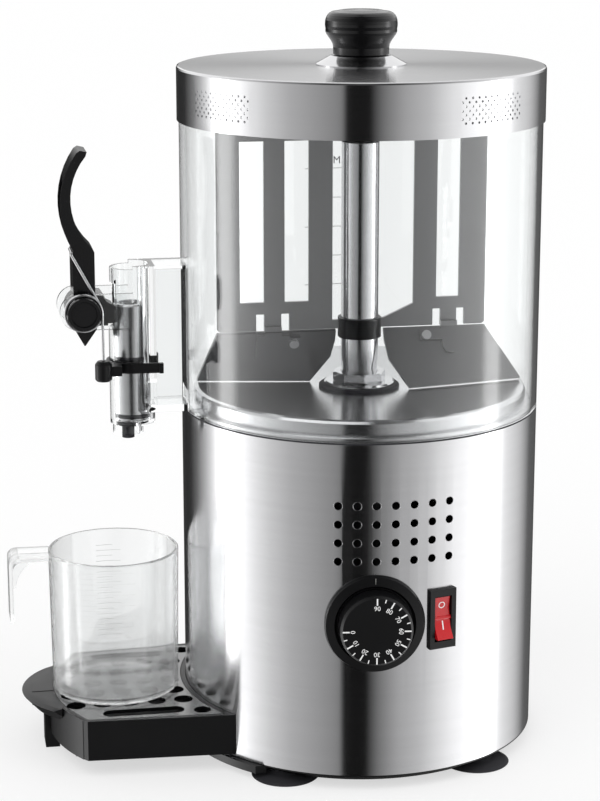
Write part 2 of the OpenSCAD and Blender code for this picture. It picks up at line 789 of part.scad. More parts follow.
module tongue_left() {
    low = -19;
    union() {
        leaning(1, -1.5 * stirrer_t - 0.1, -stirrer_t / 2 - 0.1) union() {
            translate([-65.6, low]) square([65.6 - 44.5, -low - 0.3]);
            translate([-60.9, -1]) square([10.6, 3]);
            translate([-46, -screw_drop - 5]) square([8, 7]);
        }
        span([-60.9, -1.5 * stirrer_t - 0.1, blade_top_z + 0.9],
             [-50.3, stirrer_t / 2, blade_top_z + 4]);
    }
}

module stirrer_frame() {
    color([0.62, 0.62, 0.64]) difference() {
        union() {
            translate([0, stirrer_t / 2, 0]) rotate([90, 0, 0]) linear_extrude(stirrer_t) frame_outline();
            tongue_left();
            tongue_right();
            // strip that holds the right blade's screw
            leaning(-1, -1.5 * stirrer_t - 0.1, -stirrer_t / 2 - 0.1)
                translate([screw_x - 4, -screw_drop - 5]) square([16, 7]);
        }
        pipe(bush_r - 0.4, 0, bush_z - 2, bush_z + bush_h + 2);
        // notch for the hub's core, with a bridge left over it
        span([-hub_core, -5, bar_z - 1], [hub_core, 5, bar_z + bar_h - bridge_h]);
        for (s = [[1, -1], [-1, 1]]) leaning(s[0], -5, 5)
            translate([s[1] * screw_x, -screw_drop - 2]) circle(r = 1.6);
    }
}

module scraper_screws() {
    color([0.8, 0.8, 0.82]) for (s = [[1, -1], [-1, 1]]) union() {
        leaning(s[0], -1.5 * stirrer_t - 0.1, stirrer_t / 2 + 1.5)
            translate([s[1] * screw_x, -screw_drop - 2]) circle(r = 1.5);
        leaning(s[0], -1.5 * stirrer_t - 1.8, -1.5 * stirrer_t - 0.15)
            translate([s[1] * screw_x, -screw_drop - 2]) circle(r = 3);
        leaning(s[0], stirrer_t / 2 + 0.05, stirrer_t / 2 + 1.6)
            translate([s[1] * screw_x, -screw_drop - 2]) circle(r = 2.8);
    }
}

module stirrer_bush() {
    color([0.05, 0.05, 0.055]) difference() {
        pipe(bush_r, column_r + guide_gap, bush_z, bush_z + bush_h);
        for (x = [-bush_r - 1, bush_r - 0.5])
            span([x, -stirrer_t / 2 - 0.05, bush_z - 1],
                 [x + 1.5, stirrer_t / 2 + 0.05, bush_z + bush_h + 1]);
    }
}

module stirrer_hub() {
    color([0.05, 0.05, 0.055]) difference() {
        translate([0, 0, hub_z]) rotate_extrude() polygon([
            [0, 0], [hub_r, 0], [hub_r, hub_h - 2], [hub_r - 2, hub_h], [0, hub_h]
        ]);
        translate([0, 0, hub_z - 1]) cylinder(r = shaft_r + 0.02, h = bar_z + bar_h - bridge_h - hub_z - 0.4);
        // slot that the top bar lies in
        difference() {
            span([-hub_r - 1, -stirrer_t / 2 - 0.05, bar_z - 0.05],
                 [hub_r + 1, stirrer_t / 2 + 0.05, bar_z + bar_h + 0.05]);
            span([-hub_core + 0.05, -5, bar_z - 2], [hub_core - 0.05, 5, bar_z + bar_h - bridge_h - 0.05]);
        }
    }
}

// ---------- tank, duct and tap tube ----------

slot_half = nose_w / 2 + 0.8;
slot_low = pivot_z - 12.8;
slot_high = pivot_z + 15.5;

module tube_at_tap() {
    translate([-tap_x, 0, 0]) children();
}

module clevis_ears() {
    for (s = [-1, 1]) {
        y0 = s > 0 ? ear_y : -ear_out;
        y1 = s > 0 ? ear_out : -ear_y;
        span([pivot_x - 2.8, y0, pivot_z - ear_r], [-tap_x, y1, pivot_z + ear_r - 0.6]);
        rod_y(pivot_x - 2.8, pivot_z, ear_r, y0, y1);
    }
}

module tank_shell() {
    color([0.85, 0.9, 0.93, 0.3]) difference() {
        union() {
            translate([0, 0, tank_z]) cylinder(r = tank_r, h = tank_top - tank_z);
            // duct
            span([-tap_x, -duct_w / 2, duct_floor_z], [-tank_r + 4, duct_w / 2, duct_top]);
            // tap tube, its nozzle and the ears for the lever
            tube_at_tap() {
                translate([0, 0, tap_floor_z - 2]) cylinder(r = tap_r, h = tap_step_z - tap_floor_z + 2);
                translate([0, 0, tap_step_z - 1]) cylinder(r = tap_upper_r, h = tap_top - tap_step_z + 1);
                translate([-nozzle_shift, 0, tap_floor_z - nozzle_h]) cylinder(r = nozzle_r, h = nozzle_h);
            }
            clevis_ears();
        }
        translate([0, 0, tank_z - 1]) cylinder(r = tank_bore_r, h = tank_top - tank_z + 2);
        // hollow of the duct and its mouth into the tank
        span([-tap_x + tap_bore_r + 3, -duct_w / 2 + duct_wall, duct_floor_z + 4],
             [-tank_r + 1, duct_w / 2 - duct_wall, duct_top - duct_wall]);
        span([-tank_r - 2, -duct_w / 2 + duct_wall, pan_edge_z + 1],
             [-tank_bore_r + 3, duct_w / 2 - duct_wall, duct_top - duct_wall]);
        // port from the duct to the tap, bore and outlet
        span([-tap_x, -7.5, duct_floor_z + 4], [-tap_x + tap_bore_r + 5, 7.5, duct_floor_z + 18]);
        tube_at_tap() {
            translate([0, 0, tap_floor_z]) cylinder(r = tap_bore_r, h = 200);
            translate([-nozzle_shift, 0, tap_floor_z - nozzle_h - 1])
                cylinder(r = nozzle_bore_r, h = nozzle_h + 2);
        }
        // slot for the lever's nose
        span([-tap_x - tap_r - 2, -slot_half, slot_low], [-tap_x, slot_half, slot_high]);
        rod_y(pivot_x, pivot_z, pivot_r + running, -ear_out - 1, ear_out + 1);
    }
}

module tank_gasket() {
    color([0.05, 0.05, 0.055]) pipe(housing_r - 0.2, tank_bore_r - 0.3, flange_z + 0.02, tank_z - 0.02);
}

// ---------- tap ----------

// Lever outline from the pivot: hub, block, hooked handle, tail and arm
module lever_outline() {
    union() {
        circle(r = 10);
        polygon([[-5.5, 0], [-5.5, catch_dz - 1.2], [-4.3, catch_dz], [-5.5, catch_dz + 1], [0, 45],
                 [6.8, 38.6], [7.9, 36.4], [7.9, 0]]);
        polygon(concat(
            arc([44.6, 64.5], 56.7, 207.6, 145, 10),
            [[0.5, 98.6], [4.6, 97.6]],
            arc([35.4, 68.4], 41.3, 140, 226, 12)
        ));
        polygon([[-5.6, -8], [-4.1, -13.2], [0.6, -21.6], [1.3, -21.6], [8.2, -11.8], [9, -4]]);
        polygon([[5, 0], [5, 10.3], [8.8, 9.9], [12.4, 9.4], [15.3, 4.6], [15.3, -9.1], [6, -9.1]]);
    }
}

module tap_lever() {
    color([0.05, 0.05, 0.055]) translate([pivot_x, 0, pivot_z]) difference() {
        union() {
            translate([0, lever_w / 2, 0]) rotate([90, 0, 0]) linear_extrude(lever_w) lever_outline();
            // nose that lifts the piston
            translate([0, nose_w / 2, 0]) rotate([90, 0, 0]) linear_extrude(nose_w) polygon([
                [12, 4.4], [15.3, 4.4], [18.8, 2.6], [19.2, -1.2], [pivot_reach - 7.2, -1.2],
                [pivot_reach - 7, -8.2], [18.8, -9.1], [12, -9.1]
            ]);
        }
        rod_y(0, 0, pivot_r + running, -lever_w, lever_w);
        // finger slot in the outer side of the handle
        span([-20, -lever_w / 2 + 5, 48], [-9.6, lever_w / 2 - 5, 84]);
    }
}

module pivot_pin() {
    color([0.75, 0.75, 0.77]) rod_y(pivot_x, pivot_z, pivot_r, -ear_out - spool_l, ear_out + 4);
}

module pivot_spool() {
    color([0.05, 0.05, 0.055]) translate([pivot_x, -ear_out - 0.1, pivot_z]) rotate([90, 0, 0]) difference() {
        rotate_extrude() polygon([
            [pivot_r + 0.02, 0], [spool_r, 0], [spool_r, spool_l], [spool_face_r, spool_l + 0.1],
            [spool_face_r - 0.4, spool_l + spool_face_t], [spool_face_r - 2.3, spool_l + spool_face_t],
            [spool_face_r - 2.8, spool_l + 0.4], [0, spool_l + 0.4],
            [0, spool_l - 0.05], [pivot_r + 0.02, spool_l - 0.05]
        ]);
    }
}

module pivot_rear_cap() {
    color([0.05, 0.05, 0.055]) translate([pivot_x, ear_out + 0.1, pivot_z]) rotate([-90, 0, 0])
        rotate_extrude() polygon([
            [pivot_r + 0.02, 0], [9, 0], [9, 4], [8, 5.5], [0, 5.5], [0, 4], [pivot_r + 0.02, 4]
        ]);
}

module spring_clip() {
    arm_end = -tap_x + 18;
    color([0.05, 0.05, 0.055]) difference() {
        union() {
            tube_at_tap() pipe(clip_y + clip_t, clip_y, clip_z, clip_z + clip_h);
            // arms along both sides of the duct, each with a stop at its end
            for (side = [-1, 1]) {
                span([-tap_x, side > 0 ? clip_y : -clip_y - clip_t, clip_z],
                     [arm_end, side > 0 ? clip_y + clip_t : -clip_y, clip_z + clip_h]);
                span([arm_end - 2.6, side > 0 ? clip_y : -clip_y - clip_t - 1.6, clip_z],
                     [arm_end, side > 0 ? clip_y + clip_t + 1.6 : -clip_y, clip_z + clip_h]);
            }
            translate([pivot_x + coil_r, -leg_y, barrel_z]) rotate_extrude() polygon([
                [0, 0], [barrel_r - 1, 0], [barrel_r, 1.2], [barrel_r, barrel_h - 2],
                [barrel_r - 1.6, barrel_h], [0, barrel_h]
            ]);
            span([pivot_x + coil_r - 1, -leg_y, clip_z], [-tap_x - 8, -tap_r + 3, clip_z + clip_h]);
        }
        tube_at_tap() translate([0, 0, clip_z - 10]) cylinder(r = clip_y, h = 30);
        span([-tap_x, -clip_y, clip_z - 1], [-tap_x + 40, clip_y, clip_z + clip_h + 1]);
        translate([pivot_x + coil_r, -leg_y, leg_low_z - 0.1]) cylinder(r = wire_d / 2 + 0.1, h = 20);
    }
}

// Return spring: one wire, from the hook behind the lever's catch, down the slanting leg,
// round the spool and straight down into the clip
hook_pt = [catch_dx - wire_d / 2 - 0.15, catch_dz + 0.2];
hook_len = norm(hook_pt);
leave_angle = atan2(hook_pt[1], hook_pt[0]) - acos(coil_r / hook_len);
coil_sweep = 360 * spring_turns + leave_angle;
function coil_pt(a) = [pivot_x + coil_r * cos(a), -leg_y + (leg_y - coil_y) * a / coil_sweep,
                       pivot_z + coil_r * sin(a)];
coil_steps = ceil(coil_sweep / 360 * coil_rings);
spring_path = concat(
    [[pivot_x + coil_r, -leg_y, leg_low_z], [pivot_x + coil_r, -leg_y, pivot_z - 3]],
    [for (i = [0 : coil_steps]) coil_pt(coil_sweep * i / coil_steps)],
    [[pivot_x + hook_pt[0], -coil_y, pivot_z + hook_pt[1] - 1.6],
     [pivot_x + hook_pt[0], -coil_y + 1.6, pivot_z + hook_pt[1]],
     [pivot_x + hook_pt[0], -coil_y + 14, pivot_z + hook_pt[1]]]
);

function unit(v) = v / norm(v);
function along(p, i) = unit(i == 0 ? p[1] - p[0] : i == len(p) - 1 ? p[i] - p[i - 1]
    : unit(p[i] - p[i - 1]) + unit(p[i + 1] - p[i]));
// Carries the ring's first direction along the path without twist
function carried(p, i, side) = let (t = along(p, i)) unit(side - (side * t) * t);
function sides(p, i = 0, side = [0.2, 1, 0.1]) = i == len(p) ? []
    : let (s = carried(p, i, side)) concat([s], sides(p, i + 1, s));

module wire(p, r, n = 6) {
    s = sides(p);
    rings = [for (i = [0 : len(p) - 1]) let (t = along(p, i), u = s[i], v = cross(t, u))
        for (k = [0 : n - 1]) p[i] + r * (cos(360 * k / n) * u + sin(360 * k / n) * v)];
    last = (len(p) - 1) * n;
    faces = concat(
        [for (k = [1 : n - 2]) [0, k, k + 1]],
        [for (k = [1 : n - 2]) [last, last + k + 1, last + k]],
        [for (i = [0 : len(p) - 2], k = [0 : n - 1]) let (a = i * n + k, b = i * n + (k + 1) % n)
            [a, a + n, b]],
        [for (i = [0 : len(p) - 2], k = [0 : n - 1]) let (a = i * n + k, b = i * n + (k + 1) % n)
            [b, a + n, b + n]]
    );
    polyhedron(points = rings, faces = faces, convexity = 10);
}

coil_gaps = [for (i = [0 : coil_steps - coil_rings]) norm(
    coil_pt(coil_sweep * i / coil_steps) - coil_pt(coil_sweep * (i + coil_rings) / coil_steps)) - wire_d];

module return_spring() {
    echo(least_gap_between_turns = min(coil_gaps));
    color([0.75, 0.75, 0.77]) wire(spring_path, wire_d / 2);
}

module tap_piston() {
    groove_z = [tap_floor_z + 3.4, tap_floor_z + 40];
    color([0.75, 0.76, 0.78]) tube_at_tap() difference() {
        translate([0, 0, 0]) rotate_extrude() polygon([
            [0, tap_floor_z + 0.1], [piston_r - 2, tap_floor_z + 0.1], [piston_r, tap_floor_z + 1.4],
            [piston_r, piston_top - 1], [piston_r - 1, piston_top], [piston_r - 3, piston_top],
            [piston_r - 4, piston_top - 2], [0, piston_top - 2]
        ]);
        // notch that the lever's nose works in
        span([-piston_r - 1, -nose_w / 2 - 0.6, notch_low], [-piston_r + 6.5, nose_w / 2 + 0.6, notch_high]);
        for (z = groove_z) translate([0, 0, z])
            pipe(piston_r + 1, piston_r - 2 * ring_r, -ring_r - 0.1, ring_r + 0.1);
        translate([-nozzle_shift, 0, tap_floor_z - 1]) cylinder(r = 2.5, h = 12);
    }
}

module piston_rings() {
    color([0.05, 0.05, 0.055]) tube_at_tap() for (z = [tap_floor_z + 3.4, tap_floor_z + 40])
        translate([0, 0, z]) rotate_extrude()
            translate([tap_bore_r - ring_r - 0.03, 0]) circle(r = ring_r - 0.02);
}

module outlet_plug() {
    low = tap_floor_z - nozzle_h - 3.4;
    color([0.05, 0.05, 0.055]) tube_at_tap() translate([-nozzle_shift, 0, 0]) union() {
        translate([0, 0, low]) cylinder(r = plug_r, h = tap_floor_z - low - 0.5);
        translate([0, 0, tap_floor_z - 3.5]) cylinder(r = nozzle_bore_r - guide_gap, h = 3);
        translate([0, 0, tap_floor_z - 1]) cylinder(r = 2.45, h = 11.5);
    }
}

// ---------- lid ----------

module lid_vents() {
    step = 360 * lid_vent_pitch / (2 * PI * lid_r);
    rise = lid_vent_pitch * 0.506;
    for (patch = [0 : 3], row = [0 : lid_vent_rows - 1]) {
        n = lid_vent_columns - (row + 1) % 2;
        for (i = [0 : n - 1]) rotate([0, 0, lid_vent_angle + 90 * patch + (i - (n - 1) / 2) * step])
            translate([0, -lid_r + sheet_t + 1, lid_z + lid_vent_low + row * rise])
                rotate([90, 0, 0]) cylinder(r = lid_vent_hole_d / 2, h = sheet_t + 3, $fn = 16);
    }
}

module lid_shell() {
    color([0.78, 0.78, 0.8]) difference() {
        rotate_extrude() polygon([
            [lid_bore_r, lid_z], [lid_r, lid_z], [lid_r, lid_top - 1.4], [lid_r - 0.4, lid_top - 0.4],
            [lid_r - 1.4, lid_top], [3, lid_top], [3, lid_top - sheet_t],
            [lid_bore_r - 0.4, lid_top - sheet_t], [lid_bore_r, lid_top - sheet_t - 0.4]
        ]);
        lid_vents();
    }
}

module lid_boss() {
    color([0.3, 0.3, 0.31]) translate([0, 0, boss_z + 0.02]) rotate_extrude() polygon([
        [3, 0], [boss_r, 0], [boss_r, 0.6], [boss_top_r, boss_h - 0.04], [3, boss_h - 0.04]
    ]);
}

module lid_knob() {
    waist = knob_r * 0.775;
    top = knob_h;
    color([0.05, 0.05, 0.055]) translate([0, 0, knob_z]) difference() {
        rotate_extrude() polygon(concat(
            [[0, 0.02], [waist - 0.8, 0.02], [waist, 0.9], [waist, 5]],
            [for (i = [1 : 6]) let (f = i / 7)
                [waist + (knob_r - waist) * (0.5 - 0.5 * cos(180 * f)), 5 + 11 * f]],
            [[knob_r - 0.3, 16.2], [knob_r, 18], [knob_r, 19.6]],
            [for (i = [1 : 6]) let (a = 15 * i) [knob_r - 5.5 + 5.5 * cos(a), 19.6 + (top - 21) * sin(a)]],
            [[knob_r - 10, top - 0.6], [0, top]]
        ));
        translate([0, 0, -1]) cylinder(r = 2.6, h = 17);
    }
}

module lid_knob_screw() {
    color([0.7, 0.7, 0.72]) union() {
        translate([0, 0, lid_top - sheet_t - 1]) cylinder(r = 2.5, h = sheet_t + boss_h + 15);
        translate([0, 0, lid_top - sheet_t - 2.8]) cylinder(r = 6, h = 2.78);
    }
}

module lid_collar() {
    z = tank_top + slack;
    color([0.06, 0.06, 0.065]) rotate_extrude() polygon([
        [lid_bore_r - 0.05, z], [lid_bore_r - 0.05, z + 1.8],
        [tank_bore_r - 5, z + 1.8], [tank_bore_r - 5, z],
        [tank_bore_r - 1.9, z], [tank_bore_r - 1.9, z - 5], [tank_bore_r - 0.4, z - 5], [tank_bore_r - 0.4, z]
    ]);
}

// ---------- drip tray ----------

// The tray's plan, drawn in by a margin on every side
module tray_plan(m) {
    half_in = tray_w / 2 - m;
    half_out = tray_outer_half - m;
    difference() {
        intersection() {
            translate([tray_end_x, 0]) circle(r = tray_end_r - m);
            polygon([[0, -half_in - 3.4], [0, half_in + 3.4], [-tray_corner_x, half_out],
                     [-tray_corner_x - 2.5, half_out - 3], [-wing_tip, half_out - 3],
                     [-wing_tip, -half_out + 3], [-tray_corner_x - 2.5, -half_out + 3],
                     [-tray_corner_x, -half_out]]);
        }
        circle(r = housing_r + slack + m);
    }
}

module drip_tray() {
    color([0.05, 0.05, 0.055]) difference() {
        union() {
            translate([0, 0, tray_z]) linear_extrude(tray_top - tray_z) tray_plan(0);
            // handle wing
            intersection() {
                translate([-wing_tip + wing_r, 0, 0]) union() {
                    translate([0, 0, wing_top - wing_h])
                        cylinder(r1 = wing_r - 7, r2 = wing_r, h = wing_h - wing_lip);
                    translate([0, 0, wing_top - wing_lip - 0.01])
                        cylinder(r1 = wing_r, r2 = wing_r - 3, h = wing_lip);
                }
                span([-wing_tip - 1, -wing_half, 0], [-tray_reach + 6, wing_half, tray_top + 10]);
            }
            span([-wing_tip + 6, -6, wing_top - wing_h], [-tray_reach + 4, 6, wing_top + 0.25]);
            // leg under the outer end
            span([-tray_foot_x - 4, -9, 0], [-tray_foot_x + 5, 9, wing_top - 4]);
        }
        translate([0, 0, tray_z + tray_floor_t]) linear_extrude(60) tray_plan(tray_wall + ledge_w);
        translate([0, 0, grate_z - 0.05]) linear_extrude(60) tray_plan(tray_wall);
    }
}

module drain_holes() {
    for (k = [0 : 4], row = [-2 : 2]) {
        r = housing_r + 11.5 + drain_pitch * k;
        y = row * (drain_pitch + 0.8);
        translate([-sqrt(r * r - y * y), y]) circle(r = drain_hole_d / 2);
    }
}

// A long slot beside the arcs of holes, and the short hole between it and the housing
module side_slot(y) {
    w = drain_hole_d / 2 - 0.6;
    outer_x = -tray_reach + 36;
    for (x = [outer_x, outer_x + side_slot_l]) translate([x, y]) circle(r = w);
    translate([outer_x, y - w]) square([side_slot_l, 2 * w]);
    translate([-sqrt(pow(housing_r + 9.9, 2) - pow(y * 1.06, 2)), y * 1.06]) circle(r = w);
}

module tray_grate() {
    color([0.1, 0.1, 0.11]) translate([0, 0, grate_z]) linear_extrude(grate_t) difference() {
        tray_plan(tray_wall + grate_gap);
        drain_holes();
        side_slot(-side_slot_y);
        side_slot(side_slot_y);
    }
}

// ---------- jug ----------

module measuring_jug() {
    w = jug_wall;
    top = jug_h;
    color([0.85, 0.9, 0.93, 0.3]) translate([jug_x, 0, jug_z]) union() {
        rotate_extrude() polygon([
            [0, 0.6], [jug_base_r - 5, 0.6], [jug_base_r - 4, 0], [jug_base_r - 1, 0], [jug_base_r, 1.2],
            [jug_r, top - 0.8], [jug_r - 0.6, top], [jug_r - w + 0.4, top], [jug_r - w, top - 0.8],
            [jug_base_r - w, w + 1.5], [jug_base_r - w - 1.6, w], [0, w]
        ]);
        // strap handle
        translate([0, jug_handle_w / 2, 0]) rotate([90, 0, 0]) linear_extrude(jug_handle_w) polygon(concat(
            [[-jug_r + 1, top - 1.2]],
            arc([-jug_handle_reach + 5, top - 6], 5, 90, 180, 6),
            [[-jug_handle_reach, top - jug_handle_drop],
             [-jug_handle_reach + jug_handle_t, top - jug_handle_drop]],
            arc([-jug_handle_reach + 8, top - 9.4], 5.6, 180, 90, 6),
            [[-jug_r + 0.6, top - 3.8]]
        ));
        // rib inside the corner of the handle
        translate([0, 1, 0]) rotate([90, 0, 0]) linear_extrude(2) difference() {
            polygon([[-jug_handle_reach + 2, top - 24], [-jug_handle_reach + 2, top - 3],
                     [-jug_r + 0.8, top - 3],
                     [-jug_r + 0.8, top - 24]]);
            translate([-jug_r - 2.2, top - 24.4]) circle(r = 18.6);
            translate([-jug_r - 5, top - 40]) square([30, 34]);
        }
    }
}

place() base_plate();
place() foot_front_left();
place() foot_front_right();
place() foot_rear_left();
place() foot_rear_right();
place() foot_screws();
place() housing_shell();
place() cord_gland();
place() terminal_block();
place() pan();
place() ring_heater();
place() safety_cutout();
place() thermostat_probe();
place() gear_motor();
place() gearbox();
place() motor_bracket();
place() bracket_screws();
place() thermostat_body();
place() dial_bezel();
place() switch_body();
place() tank_gasket();
place() tank_shell();
place() column_tube();
place() column_seal();
place() column_washer();
place() column_nut();
place() column_lower_bush();
place() column_upper_bush();
place() pivot_pin();
place() pivot_spool();
place() pivot_rear_cap();
place() spring_clip();
place() lid_shell();
place() lid_boss();
place() lid_knob();
place() lid_knob_screw();
place() lid_collar();
place() stirrer_frame();
place() stirrer_hub();
place() stirrer_bush();
place() scraper_left();
place() scraper_right();
place() scraper_screws();
place() drive_shaft();
place() tap_lever();
place() return_spring();
place() tap_piston();
place() piston_rings();
place() outlet_plug();
place() dial_knob();
place() dial_spindle();
place() switch_rocker();
place() drip_tray();
place() tray_grate();
place() measuring_jug();
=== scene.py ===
"""Looks of the hot chocolate dispenser: finishes, prints, the wound spring and the studio.

Everything is in metres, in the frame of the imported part: +Z up, tap towards -X, controls
towards -Y. Each piece or group of like pieces has an operator, and the panel lists them.
"""

import json
import math

import bmesh
import bpy
from mathutils import Matrix, Vector
from mathutils.bvhtree import BVHTree

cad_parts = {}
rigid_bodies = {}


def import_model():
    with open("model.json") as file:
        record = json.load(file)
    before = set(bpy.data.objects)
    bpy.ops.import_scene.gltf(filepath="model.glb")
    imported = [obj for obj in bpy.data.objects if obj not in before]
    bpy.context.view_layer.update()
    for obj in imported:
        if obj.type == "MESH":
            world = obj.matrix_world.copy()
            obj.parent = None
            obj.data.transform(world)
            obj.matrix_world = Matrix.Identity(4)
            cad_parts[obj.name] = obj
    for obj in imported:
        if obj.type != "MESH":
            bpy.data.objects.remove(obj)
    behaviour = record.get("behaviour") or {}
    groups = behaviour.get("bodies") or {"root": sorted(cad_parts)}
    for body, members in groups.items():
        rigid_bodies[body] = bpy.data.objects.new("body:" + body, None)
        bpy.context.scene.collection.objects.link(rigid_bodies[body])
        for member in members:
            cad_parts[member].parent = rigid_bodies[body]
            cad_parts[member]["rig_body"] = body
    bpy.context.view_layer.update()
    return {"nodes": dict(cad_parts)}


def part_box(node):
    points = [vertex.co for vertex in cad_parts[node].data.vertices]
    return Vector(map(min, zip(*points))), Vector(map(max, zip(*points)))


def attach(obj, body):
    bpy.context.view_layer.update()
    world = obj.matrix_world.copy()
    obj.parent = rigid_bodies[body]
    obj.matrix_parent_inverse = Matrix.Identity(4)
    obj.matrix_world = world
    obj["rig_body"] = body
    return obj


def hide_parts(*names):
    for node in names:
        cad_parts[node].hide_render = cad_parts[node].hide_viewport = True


bl_info = {
    "name": "Hot Chocolate Dispenser",
    "version": (1, 0, 0),
    "blender": (4, 5, 0),
    "location": "3D View > Sidebar > Dispenser",
    "description": "Finishes and small details for the hot chocolate dispenser",
    "category": "Object",
}

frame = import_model()
MM = 0.001


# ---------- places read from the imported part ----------


def middle(node):
    """Centre of a node's box."""
    low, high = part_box(node)
    return (low + high) / 2


AXIS = Vector((middle("housing_shell").x, middle("housing_shell").y, 0))
HOUSING_R = (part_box("housing_shell")[1].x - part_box("housing_shell")[0].x) / 2


def facing(angle):
    """Right, up and outward directions on the housing at an angle from the front."""
    right = Vector((math.cos(angle), math.sin(angle), 0))
    return right, Vector((0, 0, 1)), Vector((math.sin(angle), -math.cos(angle), 0))


# ---------- fixed sizes of the details ----------


JUG_WALL_INSIDE = 2.3 * MM      # from the jug's outer radius to its measuring lines, at the rim
JUG_TAPER = 1.2 * MM            # by how much that radius is smaller at the jug's foot
JUG_LINES_UP = 20 * MM          # the lowest measuring line, over the jug's underside
TANK_WALL_INSIDE = 3.25 * MM    # from the housing's radius to the print on the tank's rear wall
COIL_NEAR = 16.6 * MM           # from the machine's middle plane forward to the nearest turn
SPRING_TURN_STEPS = 48          # straight pieces of the wire's path, for each whole turn
CAP_TO_SIZE = 1.38              # font size for a capital of height 1
FLOOR_HALF = 14                 # half the floor's side, in metres


# ---------- settings ----------


class DispenserSizes(bpy.types.PropertyGroup):
    """Sizes of the small details that the part's source leaves to the visual model."""

    dial_angle: bpy.props.FloatProperty(
        name="Dial Angle", description="Angle of the dial from the front",
        default=math.radians(-6.2), subtype="ANGLE")
    switch_angle: bpy.props.FloatProperty(
        name="Switch Angle", description="Angle of the switch from the front",
        default=math.radians(15.3), subtype="ANGLE")
    print_proud: bpy.props.FloatProperty(
        name="Print Thickness", description="How far printed ink stands over its surface",
        default=0.06 * MM, unit="LENGTH", precision=5)
    numeral_height: bpy.props.FloatProperty(
        name="Numeral Height", description="Height of the numbers on the dial",
        default=2.9 * MM, unit="LENGTH", precision=4)
    numeral_circle: bpy.props.FloatProperty(
        name="Numeral Circle", description="Radius at which the numbers stand",
        default=14.3 * MM, unit="LENGTH", precision=4)
    mark_outer: bpy.props.FloatProperty(
        name="Mark Circle", description="Outer radius of the dial's marks",
        default=20.6 * MM, unit="LENGTH", precision=4)
    mark_step: bpy.props.FloatProperty(
        name="Mark Step", description="Angle between two numbered marks",
        default=math.radians(30), subtype="ANGLE")
    wire: bpy.props.FloatProperty(
        name="Spring Wire", description="Diameter of the return spring's wire",
        default=1.7 * MM, unit="LENGTH", precision=4)
    coil_radius: bpy.props.FloatProperty(
        name="Coil Radius", description="Radius of the wire's middle line round the spool",
        default=11.22 * MM, unit="LENGTH", precision=5)
    coil_pitch: bpy.props.FloatProperty(
        name="Coil Pitch", description="Distance between two turns of the spring",
        default=2.2 * MM, unit="LENGTH", precision=4)
    coil_turns: bpy.props.IntProperty(
        name="Coil Turns", description="Whole turns of the spring", default=2, min=1)
    level_pitch: bpy.props.FloatProperty(
        name="Level Pitch", description="Height between two level lines of the tank",
        default=19.7 * MM, unit="LENGTH", precision=4)
    level_low: bpy.props.FloatProperty(
        name="Lowest Level", description="Height of the lowest level line",
        default=273.3 * MM, unit="LENGTH", precision=4)
    jug_pitch: bpy.props.FloatProperty(
        name="Jug Line Pitch", description="Height between two lines of the jug",
        default=3.6 * MM, unit="LENGTH", precision=4)
    vent_pitch: bpy.props.FloatProperty(
        name="Vent Pitch", description="Distance between the housing's vents",
        default=11.5 * MM, unit="LENGTH", precision=4)
    vent_bore: bpy.props.FloatProperty(
        name="Vent Bore", description="Diameter of a vent", default=5 * MM,
        unit="LENGTH", precision=4)
    vent_low: bpy.props.FloatProperty(
        name="Lowest Vents", description="Height of the lowest row of vents",
        default=146.7 * MM, unit="LENGTH", precision=4)


class DispenserColours(bpy.types.PropertyGroup):
    """Colours of the finishes."""

    steel: bpy.props.FloatVectorProperty(
        name="Steel", description="Brushed and polished stainless steel",
        default=(0.62, 0.62, 0.63), subtype="COLOR", min=0, max=1)
    blade: bpy.props.FloatVectorProperty(
        name="Stirrer Steel", description="Satin steel of the stirrer and its blades",
        default=(0.27, 0.27, 0.275), subtype="COLOR", min=0, max=1)
    black: bpy.props.FloatVectorProperty(
        name="Black Plastic", description="Moulded black plastic",
        default=(0.004, 0.004, 0.0045), subtype="COLOR", min=0, max=1)
    rubber: bpy.props.FloatVectorProperty(
        name="Rubber", description="Feet, seals and plug",
        default=(0.005, 0.005, 0.0055), subtype="COLOR", min=0, max=1)
    clear: bpy.props.FloatVectorProperty(
        name="Clear Plastic", description="Tint of the tank and the jug",
        default=(0.975, 0.985, 0.985), subtype="COLOR", min=0, max=1)
    red: bpy.props.FloatVectorProperty(
        name="Rocker Red", description="The power switch's rocker",
        default=(0.5, 0.006, 0.01), subtype="COLOR", min=0, max=1)
    ink: bpy.props.FloatVectorProperty(
        name="White Ink", description="Print on the dial and the rocker",
        default=(0.86, 0.86, 0.85), subtype="COLOR", min=0, max=1)
    level_ink: bpy.props.FloatVectorProperty(
        name="Level Ink", description="Print on the tank",
        default=(0.045, 0.045, 0.05), subtype="COLOR", min=0, max=1)


class DispenserStudio(bpy.types.PropertyGroup):
    """Light level and camera."""

    fill: bpy.props.FloatProperty(
        name="Fill Level", description="Even light from all round", default=0.76, min=0)
    key: bpy.props.FloatProperty(
        name="Key Light", description="Strength of the lamp over the left front",
        default=0.8, min=0)
    side: bpy.props.FloatProperty(
        name="Side Light", description="Strength of the lamp at the right", default=0.5, min=0)
    floor_share: bpy.props.FloatProperty(
        name="Floor Glow", description="Share of the floor's own white in what the camera sees",
        default=0.62, min=0, max=1)
    camera_place: bpy.props.FloatVectorProperty(
        name="Camera Place", description="Where the camera stands",
        default=(-0.2213, -1.354, 0.5612), subtype="TRANSLATION")
    camera_pitch: bpy.props.FloatProperty(
        name="Camera Pitch", description="How far the camera looks down",
        default=math.radians(13.87), subtype="ANGLE")
    camera_yaw: bpy.props.FloatProperty(
        name="Camera Yaw", description="How far the camera looks to the right",
        default=math.radians(9.95), subtype="ANGLE")
    camera_lens: bpy.props.FloatProperty(
        name="Lens", description="Focal length in millimetres", default=100.9, min=20)


def sizes():
    return bpy.context.scene.dispenser_sizes


def colours():
    return bpy.context.scene.dispenser_colours


